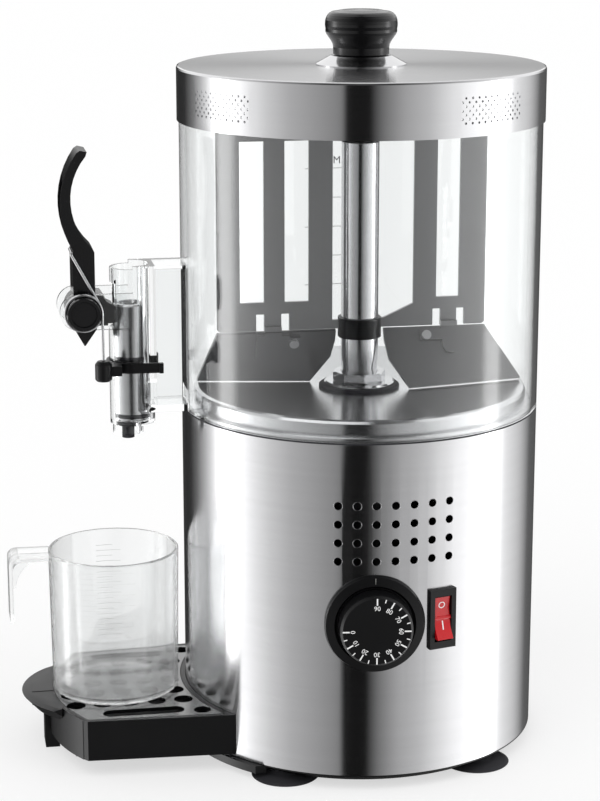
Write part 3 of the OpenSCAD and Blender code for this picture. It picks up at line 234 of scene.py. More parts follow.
# ---------- node helpers ----------


def add(tree, kind, inputs=(), **settings):
    """One node, with its settings made and each input given a value or a link."""
    node = tree.nodes.new(kind)
    for key, value in settings.items():
        setattr(node, key, value)
    for key, value in dict(inputs).items():
        if isinstance(value, bpy.types.NodeSocket):
            tree.links.new(value, node.inputs[key])
        else:
            node.inputs[key].default_value = value
    return node


def maths(tree, operation, a, b=0.0):
    return add(tree, "ShaderNodeMath", {0: a, 1: b}, operation=operation).outputs[0]


def vector_maths(tree, operation, a, b=(0, 0, 0)):
    return add(tree, "ShaderNodeVectorMath", {0: a, 1: b}, operation=operation).outputs[0]


def blend(tree, a, share_a, b, share_b):
    """The sum of two values, each times its share."""
    part_a = maths(tree, "MULTIPLY", a, share_a)
    part_b = maths(tree, "MULTIPLY", b, share_b)
    return maths(tree, "ADD", part_a, part_b)


def between(tree, value, low, high):
    """A value from 0 to 1, spread from low to high."""
    spread = {"Value": value, "To Min": low, "To Max": high}
    return add(tree, "ShaderNodeMapRange", spread).outputs[0]


def pick(tree, factor, a, b, **settings):
    """A where the factor is 0, and b where it is 1, both colours."""
    return add(tree, "ShaderNodeMix", {"Factor": factor, 6: a, 7: b}, data_type="RGBA",
               **settings).outputs[2]


def grey(level):
    return (level, level, level, 1)


def noise(tree, vector, scale, detail=2.0, roughness=0.5):
    return add(tree, "ShaderNodeTexNoise", {
        "Vector": vector, "Scale": scale, "Detail": detail, "Roughness": roughness}).outputs["Fac"]


def tinted(tree, factor, colour, low, high):
    """The colour, darker or lighter by a pattern."""
    dark = (*(c * low for c in colour), 1)
    light = (*(min(1, c * high) for c in colour), 1)
    return pick(tree, factor, dark, light)


def new_finish(name):
    """Makes an empty material: its tree, its shader and Object coordinates round the axis."""
    material = bpy.data.materials.new(name)
    material.use_nodes = True
    tree = material.node_tree
    shader = tree.nodes["Principled BSDF"]
    place = add(tree, "ShaderNodeTexCoord").outputs["Object"]
    to_axis = (-AXIS.x, -AXIS.y, 0)
    centred = add(tree, "ShaderNodeMapping", {"Vector": place, "Location": to_axis})
    return tree, shader, centred.outputs[0]


def bump(tree, shader, height, distance, strength):
    node = add(tree, "ShaderNodeBump", {
        "Height": height, "Distance": distance, "Strength": strength})
    tree.links.new(node.outputs[0], shader.inputs["Normal"])


# ---------- finishes ----------


def turned_steel(name, colour, roughness, grain, anisotropy, streaks=0.05):
    """Steel that was brushed or turned round the machine's axis: rings on flat faces, level
    lines on walls, and gloss that is drawn out across them."""
    tree, shader, place = new_finish(name)
    flat = vector_maths(tree, "MULTIPLY", place, (1, 1, 0))
    spoke = vector_maths(tree, "NORMALIZE", flat)
    reach = add(tree, "ShaderNodeVectorMath", {0: flat}, operation="LENGTH").outputs["Value"]
    height = add(tree, "ShaderNodeSeparateXYZ", {0: place}).outputs["Z"]
    track = maths(tree, "MULTIPLY", maths(tree, "ADD", height, reach), grain)
    scaled = add(tree, "ShaderNodeVectorMath", {0: spoke, "Scale": 2.4}, operation="SCALE")
    rise = add(tree, "ShaderNodeCombineXYZ", {"Z": track})
    lines = vector_maths(tree, "ADD", scaled.outputs[0], rise.outputs[0])
    fine = noise(tree, lines, 1.0, 3.0, 0.6)
    broad = noise(tree, lines, 0.16, 2.0)
    smudge = noise(tree, place, 9.0, 2.0)
    worn = blend(tree, fine, 0.7, smudge, 0.3)
    both = blend(tree, fine, 0.5, broad, 0.5)
    colour_out = tinted(tree, both, colour, 1 - streaks, 1 + streaks)
    gloss_out = between(tree, worn, roughness * 0.75, roughness * 1.25)
    tree.links.new(colour_out, shader.inputs["Base Color"])
    tree.links.new(gloss_out, shader.inputs["Roughness"])
    shader.inputs["Metallic"].default_value = 1
    shader.inputs["Anisotropic"].default_value = anisotropy
    normal = add(tree, "ShaderNodeNewGeometry").outputs["Normal"]
    round_it = vector_maths(tree, "CROSS_PRODUCT", (0, 0, 1), spoke)
    tree.links.new(vector_maths(tree, "CROSS_PRODUCT", round_it, normal), shader.inputs["Tangent"])
    bump(tree, shader, fine, 0.00002, 0.12)


def straight_steel(name, colour, roughness, stretch):
    """Rolled steel with a straight grain."""
    tree, shader, place = new_finish(name)
    grain = add(tree, "ShaderNodeMapping", {"Vector": place, "Scale": stretch}).outputs[0]
    fine = noise(tree, grain, 1.0, 3.0, 0.6)
    smudge = noise(tree, place, 14.0, 2.0)
    both = blend(tree, fine, 0.5, smudge, 0.5)
    gloss_out = between(tree, both, roughness * 0.8, roughness * 1.25)
    tree.links.new(tinted(tree, both, colour, 0.86, 1.12), shader.inputs["Base Color"])
    tree.links.new(gloss_out, shader.inputs["Roughness"])
    shader.inputs["Metallic"].default_value = 1
    bump(tree, shader, fine, 0.00002, 0.15)


def moulded(name, colour, roughness, texture, distance, coat=0.0, gloss=0.5):
    """Moulded plastic or rubber: fine stipple, and gloss that varies where hands have rubbed it."""
    tree, shader, place = new_finish(name)
    stipple = noise(tree, place, texture, 2.0)
    rubbed = noise(tree, place, 28.0, 3.0)
    tree.links.new(tinted(tree, rubbed, colour, 0.8, 1.25), shader.inputs["Base Color"])
    mixed = blend(tree, stipple, 0.4, rubbed, 0.6)
    gloss_out = between(tree, mixed, roughness * 0.75, roughness * 1.3)
    tree.links.new(gloss_out, shader.inputs["Roughness"])
    shader.inputs["Specular IOR Level"].default_value = gloss
    shader.inputs["Coat Weight"].default_value = coat
    shader.inputs["Coat Roughness"].default_value = 0.08
    bump(tree, shader, stipple, distance, 0.25)


def clear_plastic(name, colour, roughness, wave, thinness):
    """Clear moulded plastic: faint waves from the mould, and lamps shine through it. Thinness is
    the share of light that isn't bent."""
    tree, shader, place = new_finish(name)
    waves = noise(tree, place, 16.0, 1.0)
    haze = noise(tree, place, 60.0, 2.0)
    shader.inputs["Base Color"].default_value = (*colour, 1)
    shader.inputs["Transmission Weight"].default_value = 1
    shader.inputs["IOR"].default_value = 1.49
    gloss_out = between(tree, haze, roughness * 0.5, roughness * 1.5)
    tree.links.new(gloss_out, shader.inputs["Roughness"])
    bump(tree, shader, waves, 0.0004, wave)
    lamps = add(tree, "ShaderNodeLightPath").outputs["Is Shadow Ray"]
    through = add(tree, "ShaderNodeBsdfTransparent", {"Color": (0.95, 0.95, 0.95, 1)})
    straight = maths(tree, "MAXIMUM", lamps, thinness)
    mixed = add(tree, "ShaderNodeMixShader", {
        0: straight, 1: shader.outputs[0], 2: through.outputs[0]})
    tree.links.new(mixed.outputs[0], tree.nodes["Material Output"].inputs["Surface"])


def finishes():
    """Every finish by name, made once."""
    made = bpy.data.materials
    if "brushed_housing" not in made:
        c = colours()
        turned_steel("brushed_housing", c.steel, 0.16, 1500, 0.9)
        turned_steel("brushed_lid", c.steel, 0.15, 1500, 0.85)
        turned_steel("polished_pan", c.steel, 0.2, 900, 0.85, 0.03)
        turned_steel("turned_column", c.steel, 0.17, 1800, 0.5)
        turned_steel("polished_fittings", c.steel, 0.12, 1500, 0.2)
        straight_steel("satin_blades", c.blade, 0.34, (60, 60, 1500))
        straight_steel("polished_piston", c.steel, 0.24, (30, 30, 900))
        straight_steel("screw_steel", (0.55, 0.55, 0.56), 0.3, (500, 500, 500))
        straight_steel("drawn_wire", (0.6, 0.6, 0.61), 0.2, (200, 200, 900))
        straight_steel("zinc_plate", (0.58, 0.58, 0.55), 0.38, (90, 90, 90))
        straight_steel("heater_sheath", (0.3, 0.29, 0.28), 0.45, (120, 120, 120))
        straight_steel("drawn_copper", (0.72, 0.4, 0.26), 0.3, (300, 300, 60))
        moulded("satin_black", c.black, 0.34, 1400, 0.00003, gloss=0.3)
        moulded("gloss_black", c.black, 0.2, 700, 0.00001, gloss=0.45)
        moulded("grate_black", c.black, 0.22, 700, 0.00001, 0.8, gloss=0.8)
        moulded("black_rubber", c.rubber, 0.5, 900, 0.00004, gloss=0.3)
        moulded("red_rocker", c.red, 0.2, 300, 0.00001, 0.5)
        moulded("natural_white", (0.74, 0.72, 0.66), 0.42, 900, 0.00002)
        moulded("grey_enamel", (0.12, 0.125, 0.13), 0.34, 260, 0.00006)
        moulded("white_ink", c.ink, 0.5, 2500, 0.00001)
        moulded("level_ink", c.level_ink, 0.55, 2500, 0.00001)
        moulded("etched_lines", (0.97, 0.97, 0.97), 0.4, 1500, 0.00001)
        clear_plastic("clear_tank", c.clear, 0.012, 0.10, 0.0)
        clear_plastic("clear_jug", c.clear, 0.01, 0.03, 0.25)
    return made


FINISH_OF = {
    "brushed_housing": ["housing_shell"],
    "brushed_lid": ["lid_shell"],
    "polished_pan": ["pan"],
    "turned_column": ["column_tube"],
    "polished_fittings": ["column_washer", "column_nut", "lid_boss", "pivot_pin", "drive_shaft",
                          "dial_spindle"],
    "satin_blades": ["stirrer_frame", "scraper_left", "scraper_right"],
    "polished_piston": ["tap_piston"],
    "screw_steel": ["foot_screws", "bracket_screws", "lid_knob_screw", "scraper_screws"],
    "zinc_plate": ["motor_bracket", "thermostat_body", "safety_cutout"],
    "heater_sheath": ["ring_heater"],
    "drawn_copper": ["thermostat_probe"],
    "satin_black": ["base_plate", "dial_bezel", "switch_body", "stirrer_hub", "stirrer_bush",
                    "cord_gland", "lid_collar", "spring_clip", "drip_tray", "dial_knob"],
    "gloss_black": ["pivot_spool", "pivot_rear_cap", "lid_knob", "tap_lever"],
    "grate_black": ["tray_grate"],
    "black_rubber": ["foot_front_left", "foot_front_right", "foot_rear_left", "foot_rear_right",
                     "tank_gasket", "column_seal", "piston_rings", "outlet_plug"],
    "red_rocker": ["switch_rocker"],
    "natural_white": ["column_lower_bush", "column_upper_bush", "terminal_block"],
    "grey_enamel": ["gear_motor", "gearbox"],
    "clear_tank": ["tank_shell"],
    "clear_jug": ["measuring_jug"],
    "drawn_wire": ["return_spring"],
}


# ---------- piece helpers ----------


def paint(piece, finish):
    piece.data.materials.clear()
    piece.data.materials.append(finishes()[finish])


def piece_from(mesh, name, finish, body):
    """A finished piece from a mesh that is already in its place."""
    mesh.name = name
    piece = bpy.data.objects.new(name, mesh)
    bpy.context.scene.collection.objects.link(piece)
    paint(piece, finish)
    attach(piece, body)
    return piece


def joined(meshes):
    """One mesh from several."""
    bm = bmesh.new()
    for mesh in meshes:
        bm.from_mesh(mesh)
        bpy.data.meshes.remove(mesh)
    out = bpy.data.meshes.new("joined")
    bm.to_mesh(out)
    bm.free()
    return out


def lettering(words, height, depth):
    """Words as a solid mesh, centred on the origin, in the XY plane."""
    curve = bpy.data.curves.new("lettering", "FONT")
    curve.body = words
    curve.size = height * CAP_TO_SIZE
    curve.align_x, curve.align_y = "CENTER", "CENTER"
    curve.extrude = depth / 2
    curve.resolution_u = 3
    holder = bpy.data.objects.new("lettering", curve)
    bpy.context.scene.collection.objects.link(holder)
    ready = holder.evaluated_get(bpy.context.evaluated_depsgraph_get())
    mesh = bpy.data.meshes.new_from_object(ready)
    bpy.data.objects.remove(holder)
    bpy.data.curves.remove(curve)
    bm = bmesh.new()
    bm.from_mesh(mesh)
    bmesh.ops.remove_doubles(bm, verts=bm.verts, dist=1e-7)
    bmesh.ops.recalc_face_normals(bm, faces=bm.faces)
    bm.to_mesh(mesh)
    bm.free()
    return mesh


def softened(node, finish, width, segments=2, angle=32):
    """A merged copy of a CAD node with its edges rounded, which stands for the node."""
    source = frame["nodes"][node]
    mesh = source.data.copy()
    for name in ("custom_normal", "sharp_edge", "sharp_face"):
        if name in mesh.attributes:
            mesh.attributes.remove(mesh.attributes[name])
    bm = bmesh.new()
    bm.from_mesh(mesh)
    bmesh.ops.remove_doubles(bm, verts=bm.verts, dist=2e-6)
    bmesh.ops.dissolve_limit(
        bm, angle_limit=math.radians(0.5), verts=bm.verts, edges=bm.edges,
        use_dissolve_boundaries=False)
    bm.to_mesh(mesh)
    bm.free()
    mesh.shade_smooth()
    mesh.set_sharp_from_angle(angle=math.radians(angle))
    body = source["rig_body"]
    piece = piece_from(mesh, f"{node}_finished", finish, body)
    bevel = piece.modifiers.new("soft_edges", "BEVEL")
    bevel.width = width
    bevel.segments = segments
    bevel.limit_method = "ANGLE"
    bevel.angle_limit = math.radians(angle)
    bevel.harden_normals = True
    bevel.miter_outer = "MITER_ARC"
    bevel.use_clamp_overlap = True
    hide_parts(node)


# ---------- Geometry Nodes ----------


def new_tree(name, inputs):
    """A Geometry Nodes tree with a geometry input, named number inputs and a geometry output."""
    tree = bpy.data.node_groups.new(name, "GeometryNodeTree")
    tree.interface.new_socket("Geometry", in_out="INPUT", socket_type="NodeSocketGeometry")
    for label, kind in inputs:
        tree.interface.new_socket(label, in_out="INPUT", socket_type=f"NodeSocket{kind}")
    tree.interface.new_socket("Geometry", in_out="OUTPUT", socket_type="NodeSocketGeometry")
    source = tree.nodes.new("NodeGroupInput")
    return tree, source.outputs


def close_tree(tree, geometry):
    """Ends a tree: instances become mesh, and the finish is set."""
    real = add(tree, "GeometryNodeRealizeInstances", {"Geometry": geometry})
    painted = add(tree, "GeometryNodeSetMaterial", {"Geometry": real.outputs[0]})
    add(tree, "NodeGroupOutput", {0: painted.outputs[0]})
    return painted


def run_tree(tree, painted, values, finish, data=None):
    """Evaluates a tree with these input values, and gives its plain mesh."""
    painted.inputs["Material"].default_value = finishes()[finish]
    holder = bpy.data.objects.new(tree.name, data or bpy.data.meshes.new(tree.name))
    bpy.context.scene.collection.objects.link(holder)
    modifier = holder.modifiers.new(tree.name, "NODES")
    modifier.node_group = tree
    identifiers = {
        item.name: item.identifier for item in tree.interface.items_tree
        if item.item_type == "SOCKET" and item.in_out == "INPUT"}
    for label, value in values.items():
        modifier[identifiers[label]] = value
    bpy.context.view_layer.update()
    ready = holder.evaluated_get(bpy.context.evaluated_depsgraph_get())
    mesh = bpy.data.meshes.new_from_object(ready)
    holder.modifiers.clear()
    bpy.data.objects.remove(holder)
    return mesh


def wire_tree():
    """A round wire along a curve."""
    tree, given = new_tree("wound_wire", [("Wire Diameter", "Float"), ("Sides", "Int")])
    radius = maths(tree, "MULTIPLY", given["Wire Diameter"], 0.5)
    ring = add(tree, "GeometryNodeCurvePrimitiveCircle", {
        "Resolution": given["Sides"], "Radius": radius})
    wire = add(tree, "GeometryNodeCurveToMesh", {
        "Curve": given["Geometry"], "Profile Curve": ring.outputs[0], "Fill Caps": True})
    smooth = add(tree, "GeometryNodeSetShadeSmooth", {"Geometry": wire.outputs[0]})
    return tree, close_tree(tree, smooth.outputs[0])


def level_tree():
    """Level lines that follow a round wall: one arc, repeated upwards."""
    tree, given = new_tree("level_lines", [
        ("Radius", "Float"), ("Start Angle", "Float"), ("Sweep", "Float"), ("Lines", "Int"),
        ("Pitch", "Float"), ("Line Width", "Float")])
    arc = add(tree, "GeometryNodeCurveArc", {
        "Resolution": 24, "Radius": given["Radius"], "Start Angle": given["Start Angle"],
        "Sweep Angle": given["Sweep"]})
    half = maths(tree, "MULTIPLY", given["Line Width"], 0.5)
    ring = add(tree, "GeometryNodeCurvePrimitiveCircle", {"Resolution": 6, "Radius": half})
    line = add(tree, "GeometryNodeCurveToMesh", {
        "Curve": arc.outputs[0], "Profile Curve": ring.outputs[0], "Fill Caps": True})
    step = add(tree, "ShaderNodeCombineXYZ", {"Z": given["Pitch"]})
    stack = add(tree, "GeometryNodeMeshLine", {"Count": given["Lines"], "Offset": step.outputs[0]})
    placed = add(tree, "GeometryNodeInstanceOnPoints", {
        "Points": stack.outputs[0], "Instance": line.outputs[0]})
    return tree, close_tree(tree, placed.outputs[0])


def mark_tree():
    """Straight marks round a dial, in the XY plane, clockwise from the top."""
    tree, given = new_tree("dial_marks", [
        ("Marks", "Int"), ("Outer Radius", "Float"), ("Length", "Float"), ("Width", "Float"),
        ("Thickness", "Float"), ("First", "Float"), ("Step", "Float")])
    size = add(tree, "ShaderNodeCombineXYZ", {
        "X": given["Width"], "Y": given["Length"], "Z": given["Thickness"]})
    bar = add(tree, "GeometryNodeMeshCube", {"Size": size.outputs[0]})
    half = maths(tree, "MULTIPLY", given["Length"], 0.5)
    middle_r = maths(tree, "SUBTRACT", given["Outer Radius"], half)
    out = add(tree, "ShaderNodeCombineXYZ", {"Y": middle_r})
    moved = add(tree, "GeometryNodeTransform", {
        "Geometry": bar.outputs[0], "Translation": out.outputs[0]})
    spots = add(tree, "GeometryNodePoints", {"Count": given["Marks"]})
    index = add(tree, "GeometryNodeInputIndex").outputs[0]
    turn = maths(tree, "ADD", given["First"], maths(tree, "MULTIPLY", index, given["Step"]))
    spin = add(tree, "ShaderNodeCombineXYZ", {"Z": maths(tree, "MULTIPLY", turn, -1.0)})
    placed = add(tree, "GeometryNodeInstanceOnPoints", {
        "Points": spots.outputs[0], "Instance": moved.outputs[0], "Rotation": spin.outputs[0]})
    return tree, close_tree(tree, placed.outputs[0])


def rim_tree():
    """Rims of a field of vents, laid out flat and then bent round the housing."""
    tree, given = new_tree("vent_rims", [
        ("Columns", "Int"), ("Rows", "Int"), ("Pitch", "Float"), ("Bore", "Float"),
        ("Rim", "Float"), ("Housing Radius", "Float")])
    wide = maths(tree, "MULTIPLY", given["Pitch"], maths(tree, "SUBTRACT", given["Columns"], 1.0))
    tall = maths(tree, "MULTIPLY", given["Pitch"], maths(tree, "SUBTRACT", given["Rows"], 1.0))
    field = add(tree, "GeometryNodeMeshGrid", {
        "Size X": wide, "Size Y": tall,
        "Vertices X": given["Columns"], "Vertices Y": given["Rows"]})
    ring = add(tree, "GeometryNodeCurvePrimitiveCircle", {
        "Resolution": 28, "Radius": maths(tree, "MULTIPLY", given["Bore"], 0.5)})
    bead = add(tree, "GeometryNodeCurvePrimitiveCircle", {"Resolution": 6, "Radius": given["Rim"]})
    rim = add(tree, "GeometryNodeCurveToMesh", {
        "Curve": ring.outputs[0], "Profile Curve": bead.outputs[0]})
    smooth = add(tree, "GeometryNodeSetShadeSmooth", {"Geometry": rim.outputs[0]})
    placed = add(tree, "GeometryNodeInstanceOnPoints", {
        "Points": field.outputs[0], "Instance": smooth.outputs[0]})
    real = add(tree, "GeometryNodeRealizeInstances", {"Geometry": placed.outputs[0]})
    at = add(tree, "ShaderNodeSeparateXYZ", {0: add(tree, "GeometryNodeInputPosition").outputs[0]})
    turn = maths(tree, "DIVIDE", at.outputs["X"], given["Housing Radius"])
    reach = maths(tree, "ADD", given["Housing Radius"], at.outputs["Z"])
    front = maths(tree, "MULTIPLY", maths(tree, "COSINE", turn), -1.0)
    bent = add(tree, "ShaderNodeCombineXYZ", {
        "X": maths(tree, "MULTIPLY", reach, maths(tree, "SINE", turn)),
        "Y": maths(tree, "MULTIPLY", reach, front), "Z": at.outputs["Y"]})
    wrapped = add(tree, "GeometryNodeSetPosition", {
        "Geometry": real.outputs[0], "Position": bent.outputs[0]})
    return tree, close_tree(tree, wrapped.outputs[0])


# ---------- operators ----------


class DISPENSER_OT_cad_finishes(bpy.types.Operator):
    """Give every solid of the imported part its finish."""

    bl_idname = "dispenser.cad_finishes"
    bl_label = "Finish the Solids"

    def execute(self, context):
        named = {node: finish for finish, nodes in FINISH_OF.items() for node in nodes}
        missing = set(frame["nodes"]) - set(named)
        if missing:
            raise RuntimeError(f"these nodes have no finish: {sorted(missing)}")
        for node, finish in named.items():
            paint(frame["nodes"][node], finish)
        return {"FINISHED"}


class DISPENSER_OT_moulded_parts(bpy.types.Operator):
    """Round the edges of the moulded parts, where they catch the light."""

    bl_idname = "dispenser.moulded_parts"
    bl_label = "Moulded Parts"

    def execute(self, context):
        softened("tray_grate", "grate_black", 0.7 * MM, 3)
        softened("drip_tray", "satin_black", 0.6 * MM, 3)
        softened("tap_lever", "gloss_black", 0.7 * MM, 3)
        softened("switch_body", "satin_black", 0.5 * MM, 2)
        softened("switch_rocker", "red_rocker", 0.25 * MM, 2)
        softened("spring_clip", "satin_black", 0.25 * MM, 2)
        return {"FINISHED"}


class DISPENSER_OT_return_spring(bpy.types.Operator):
    """Wind the tap's return spring from one round wire."""

    bl_idname = "dispenser.return_spring"
    bl_label = "Return Spring"

    def execute(self, context):
        s = sizes()
        lever = middle("pivot_pin")
        radius, pitch = s.coil_radius, s.coil_pitch
        near = AXIS.y - COIL_NEAR
        far = near - s.coil_turns * pitch
        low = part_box("return_spring")[0].z
        hook = (-6.5 * MM, 37.5 * MM)  # the lever's notch, from the pivot
        bend = 1.6 * MM  # radius of the wire's bend into the notch
        leave = math.atan2(hook[1], hook[0]) - math.acos(radius / math.hypot(*hook))
        sweep = 2 * math.pi * s.coil_turns + leave
        steps = SPRING_TURN_STEPS * s.coil_turns
        points = [(lever.x + radius, far, low), (lever.x + radius, far, lever.z - 3 * MM)]
        for i in range(steps + 1):
            a = sweep * i / steps
            points.append((lever.x + radius * math.cos(a), far + (near - far) * a / sweep,
                           lever.z + radius * math.sin(a)))
        top = (lever.x + hook[0], lever.z + hook[1])
        for i in range(7):
            a = math.radians(15 * i)
            points.append((top[0], near + bend * (1 - math.cos(a)),
                           top[1] - bend * (1 - math.sin(a))))
        points.append((top[0], near + 14 * MM, top[1]))
        curve = bpy.data.curves.new("spring_path", "CURVE")
        curve.dimensions = "3D"
        spline = curve.splines.new("POLY")
        spline.points.add(len(points) - 1)
        for spot, point in zip(spline.points, points):
            spot.co = (*point, 1)
        tree, painted = wire_tree()
        values = {"Wire Diameter": s.wire, "Sides": 16}
        mesh = run_tree(tree, painted, values, "drawn_wire", curve)
        spring = piece_from(mesh, "wound_return_spring", "drawn_wire", "base")
        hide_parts("return_spring")
        return {"FINISHED"}


class DISPENSER_OT_dial_print(bpy.types.Operator):
    """Print the marks and numbers on the dial knob, and the index line on its bezel."""

    bl_idname = "dispenser.dial_print"
    bl_label = "Dial Print"

    def execute(self, context):
        s = sizes()
        right, up, out = facing(s.dial_angle)
        knob = frame["nodes"]["dial_knob"].data
        face = max((v.co - AXIS).dot(out) for v in knob.vertices)
        height = middle("dial_knob").z
        centre = AXIS + out * face + up * height
        place = Matrix((
            (right.x, up.x, out.x, centre.x), (right.y, up.y, out.y, centre.y),
            (right.z, up.z, out.z, centre.z), (0, 0, 0, 1)))
        meshes = []
        tree, painted = mark_tree()
        numbered = (10, 4.2, 0.85, 0.0)
        halfway = (9, 2.2, 0.6, s.mark_step / 2)
        for count, length, width, first in (numbered, halfway):
            meshes.append(run_tree(tree, painted, {
                "Marks": count, "Outer Radius": s.mark_outer, "Length": length * MM,
                "Width": width * MM, "Thickness": 2 * s.print_proud, "First": first,
                "Step": s.mark_step}, "white_ink"))
        for i in range(10):
            number = lettering(str(90 - 10 * i), s.numeral_height, 2 * s.print_proud)
            number.transform(Matrix.Rotation(-s.mark_step * i, 4, "Z")
                             @ Matrix.Translation((0, s.numeral_circle, 0)))
            meshes.append(number)
        scale = joined(meshes)
        scale.transform(place)
        piece_from(scale, "dial_scale", "white_ink", "dial")

        bezel = frame["nodes"]["dial_bezel"].data
        rim = max((v.co - AXIS).dot(out) for v in bezel.vertices)
        index = run_tree(tree, painted, {
            "Marks": 1, "Outer Radius": 29.6 * MM, "Length": 3.6 * MM, "Width": 0.6 * MM,
            "Thickness": 2 * s.print_proud, "First": 0.0, "Step": 0.0}, "zinc_plate")
        index.transform(Matrix.Translation(out * (rim - face)) @ place)
        piece_from(index, "bezel_index", "zinc_plate", "base")
        return {"FINISHED"}


class DISPENSER_OT_rocker_print(bpy.types.Operator):
    """Print the ring and the bar on the power switch's rocker."""

    bl_idname = "dispenser.rocker_print"
    bl_label = "Rocker Print"

    def execute(self, context):
        s = sizes()
        right, up, out = facing(s.switch_angle)
        rocker = frame["nodes"]["switch_rocker"].data
        surface = BVHTree.FromPolygons(
            [v.co.copy() for v in rocker.vertices], [tuple(p.vertices) for p in rocker.polygons])
        height = middle("switch_rocker").z
        ring = lettering("O", 4.4 * MM, 2 * s.print_proud)
        bar = lettering("I", 5.6 * MM, 2 * s.print_proud)
        ring.transform(Matrix.Translation((0, 7.4 * MM, 0)))
        bar.transform(Matrix.Translation((0, -5.0 * MM, 0)))
        both = joined([ring, bar])
        for v in both.vertices:
            start = AXIS + right * v.co.x + up * (height + v.co.y) + out * (HOUSING_R + 0.05)
            hit = surface.ray_cast(start, -out)[0]
            if hit is None:
                raise RuntimeError("the switch print misses the rocker")
            v.co = hit + out * v.co.z
        piece_from(both, "rocker_marks", "white_ink", "rocker")
        return {"FINISHED"}


class DISPENSER_OT_tank_scale(bpy.types.Operator):
    """Print the level lines on the tank's rear wall."""

    bl_idname = "dispenser.tank_scale"
    bl_label = "Tank Scale"

    def execute(self, context):
        s = sizes()
        wall = HOUSING_R - TANK_WALL_INSIDE
        tree, painted = level_tree()
        meshes = []
        for start, sweep, lines, first, pitch in (
                (82.0, 16.5, 3, 0, 2), (82.0, 10.0, 2, 1, 2)):
            mesh = run_tree(tree, painted, {
                "Radius": wall, "Start Angle": math.radians(start), "Sweep": math.radians(sweep),
                "Lines": lines, "Pitch": s.level_pitch * pitch,
                "Line Width": 0.34 * MM}, "level_ink")
            height = s.level_low + first * s.level_pitch
            mesh.transform(Matrix.Translation(AXIS + Vector((0, 0, height))))
            meshes.append(mesh)
        words = lettering("MAX", 5 * MM, 0.1 * MM)
        words.transform(Matrix.Translation((0, s.level_low + 4 * s.level_pitch + 5.2 * MM, 0)))
        for v in words.vertices:
            turn = math.radians(-0.6) + v.co.x / wall
            reach = wall - v.co.z
            v.co = AXIS + Vector((-reach * math.sin(turn), reach * math.cos(turn), v.co.y))
        words.flip_normals()
        meshes.append(words)
        piece_from(joined(meshes), "tank_level_lines", "level_ink", "base")
        return {"FINISHED"}


class DISPENSER_OT_jug_scale(bpy.types.Operator):
    """Mould the measuring lines into the jug's far wall."""

    bl_idname = "dispenser.jug_scale"
    bl_label = "Jug Scale"

    def execute(self, context):
        s = sizes()
        low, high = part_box("measuring_jug")
        radius = (high.y - low.y) / 2
        centre = Vector((high.x - radius, (low.y + high.y) / 2, 0))
        tree, painted = level_tree()
        meshes = []
        for start, sweep, lines, first, pitch in (
                (78.0, 24.0, 9, 0, 2), (86.0, 16.0, 9, 1, 2)):
            mesh = run_tree(tree, painted, {
                "Radius": radius - JUG_WALL_INSIDE, "Start Angle": math.radians(start),
                "Sweep": math.radians(sweep), "Lines": lines, "Pitch": s.jug_pitch * pitch,
                "Line Width": 0.3 * MM}, "etched_lines")
            mesh.transform(Matrix.Translation(
                centre + Vector((0, 0, low.z + JUG_LINES_UP + first * s.jug_pitch))))
            meshes.append(mesh)
        scale = joined(meshes)
        for v in scale.vertices:
            taper = JUG_TAPER * (high.z - v.co.z) / (high.z - low.z)
            spoke = Vector((v.co.x - centre.x, v.co.y - centre.y, 0)).normalized()
            v.co -= spoke * taper
        piece_from(scale, "jug_measuring_lines", "etched_lines", "jug")
        return {"FINISHED"}


class DISPENSER_OT_vent_rims(bpy.types.Operator):
    """Raise the fine pressed rims round the housing's vents."""

    bl_idname = "dispenser.vent_rims"
    bl_label = "Vent Rims"

    def execute(self, context):
        s = sizes()
        tree, painted = rim_tree()
        mesh = run_tree(tree, painted, {
            "Columns": 7, "Rows": 4, "Pitch": s.vent_pitch, "Bore": s.vent_bore + 0.3 * MM,
            "Rim": 0.15 * MM, "Housing Radius": HOUSING_R - 0.06 * MM}, "polished_fittings")
        mesh.transform(Matrix.Translation(AXIS + Vector((0, 0, s.vent_low + 1.5 * s.vent_pitch))))
        piece_from(mesh, "vent_rims", "polished_fittings", "base")
        return {"FINISHED"}


def ramp(tree, turn, stops):
    """Brightness round the tent: each stop is an angle in degrees and a brightness."""
    node = add(tree, "ShaderNodeValToRGB", {"Fac": turn})
    elements = node.color_ramp.elements
    while len(elements) < len(stops):
        elements.new(0.5)
    for element, (angle, level) in zip(elements, sorted(stops)):
        element.position = 0.5 + angle / 360
        element.color = grey(level / TENT_WHITE)
    return node.outputs[0]


TENT_WHITE = 4.6        # brightness of the tent where its ramps are white
TENT_TURN = 11.5 / 360  # the middle of the tent's dark gap, in turns from -Y towards -X
PALE_CARD = 0.85        # brightness of the card seen through clear plastic
PALE_FROM = 118 / 360   # how far round towards the tap that card begins, in turns

# Brightness of the tent by degrees from its dark gap: its walls, and what is above them
WALLS = (
    (-180, 0.05), (-150, 0.03), (-140, 0.04), (-129, 0.2), (-117, 0.66), (-110, 1.1),
    (-104, 1.7), (-98, 4.6), (-90, 4.6), (-83, 1.8), (-70, 1.25), (-59, 0.92), (-44, 0.64),
    (-15, 0.37), (-10.5, 0.3), (-9, 0.008), (6, 0.008), (9, 0.1), (14, 0.25), (27, 0.55),
    (42, 0.76), (67, 1.45), (79, 1.7), (84, 2.0), (90, 4.6), (98, 4.6), (103, 1.8),
    (109, 1.25), (127, 0.8), (145, 0.15), (180, 0.05))
ABOVE = (
    (-180, 1.15), (-140, 1.3), (-105, 1.25), (-60, 0.5), (-25, 0.08), (25, 0.08), (60, 0.5),
    (105, 1.3), (140, 1.3), (180, 1.1))


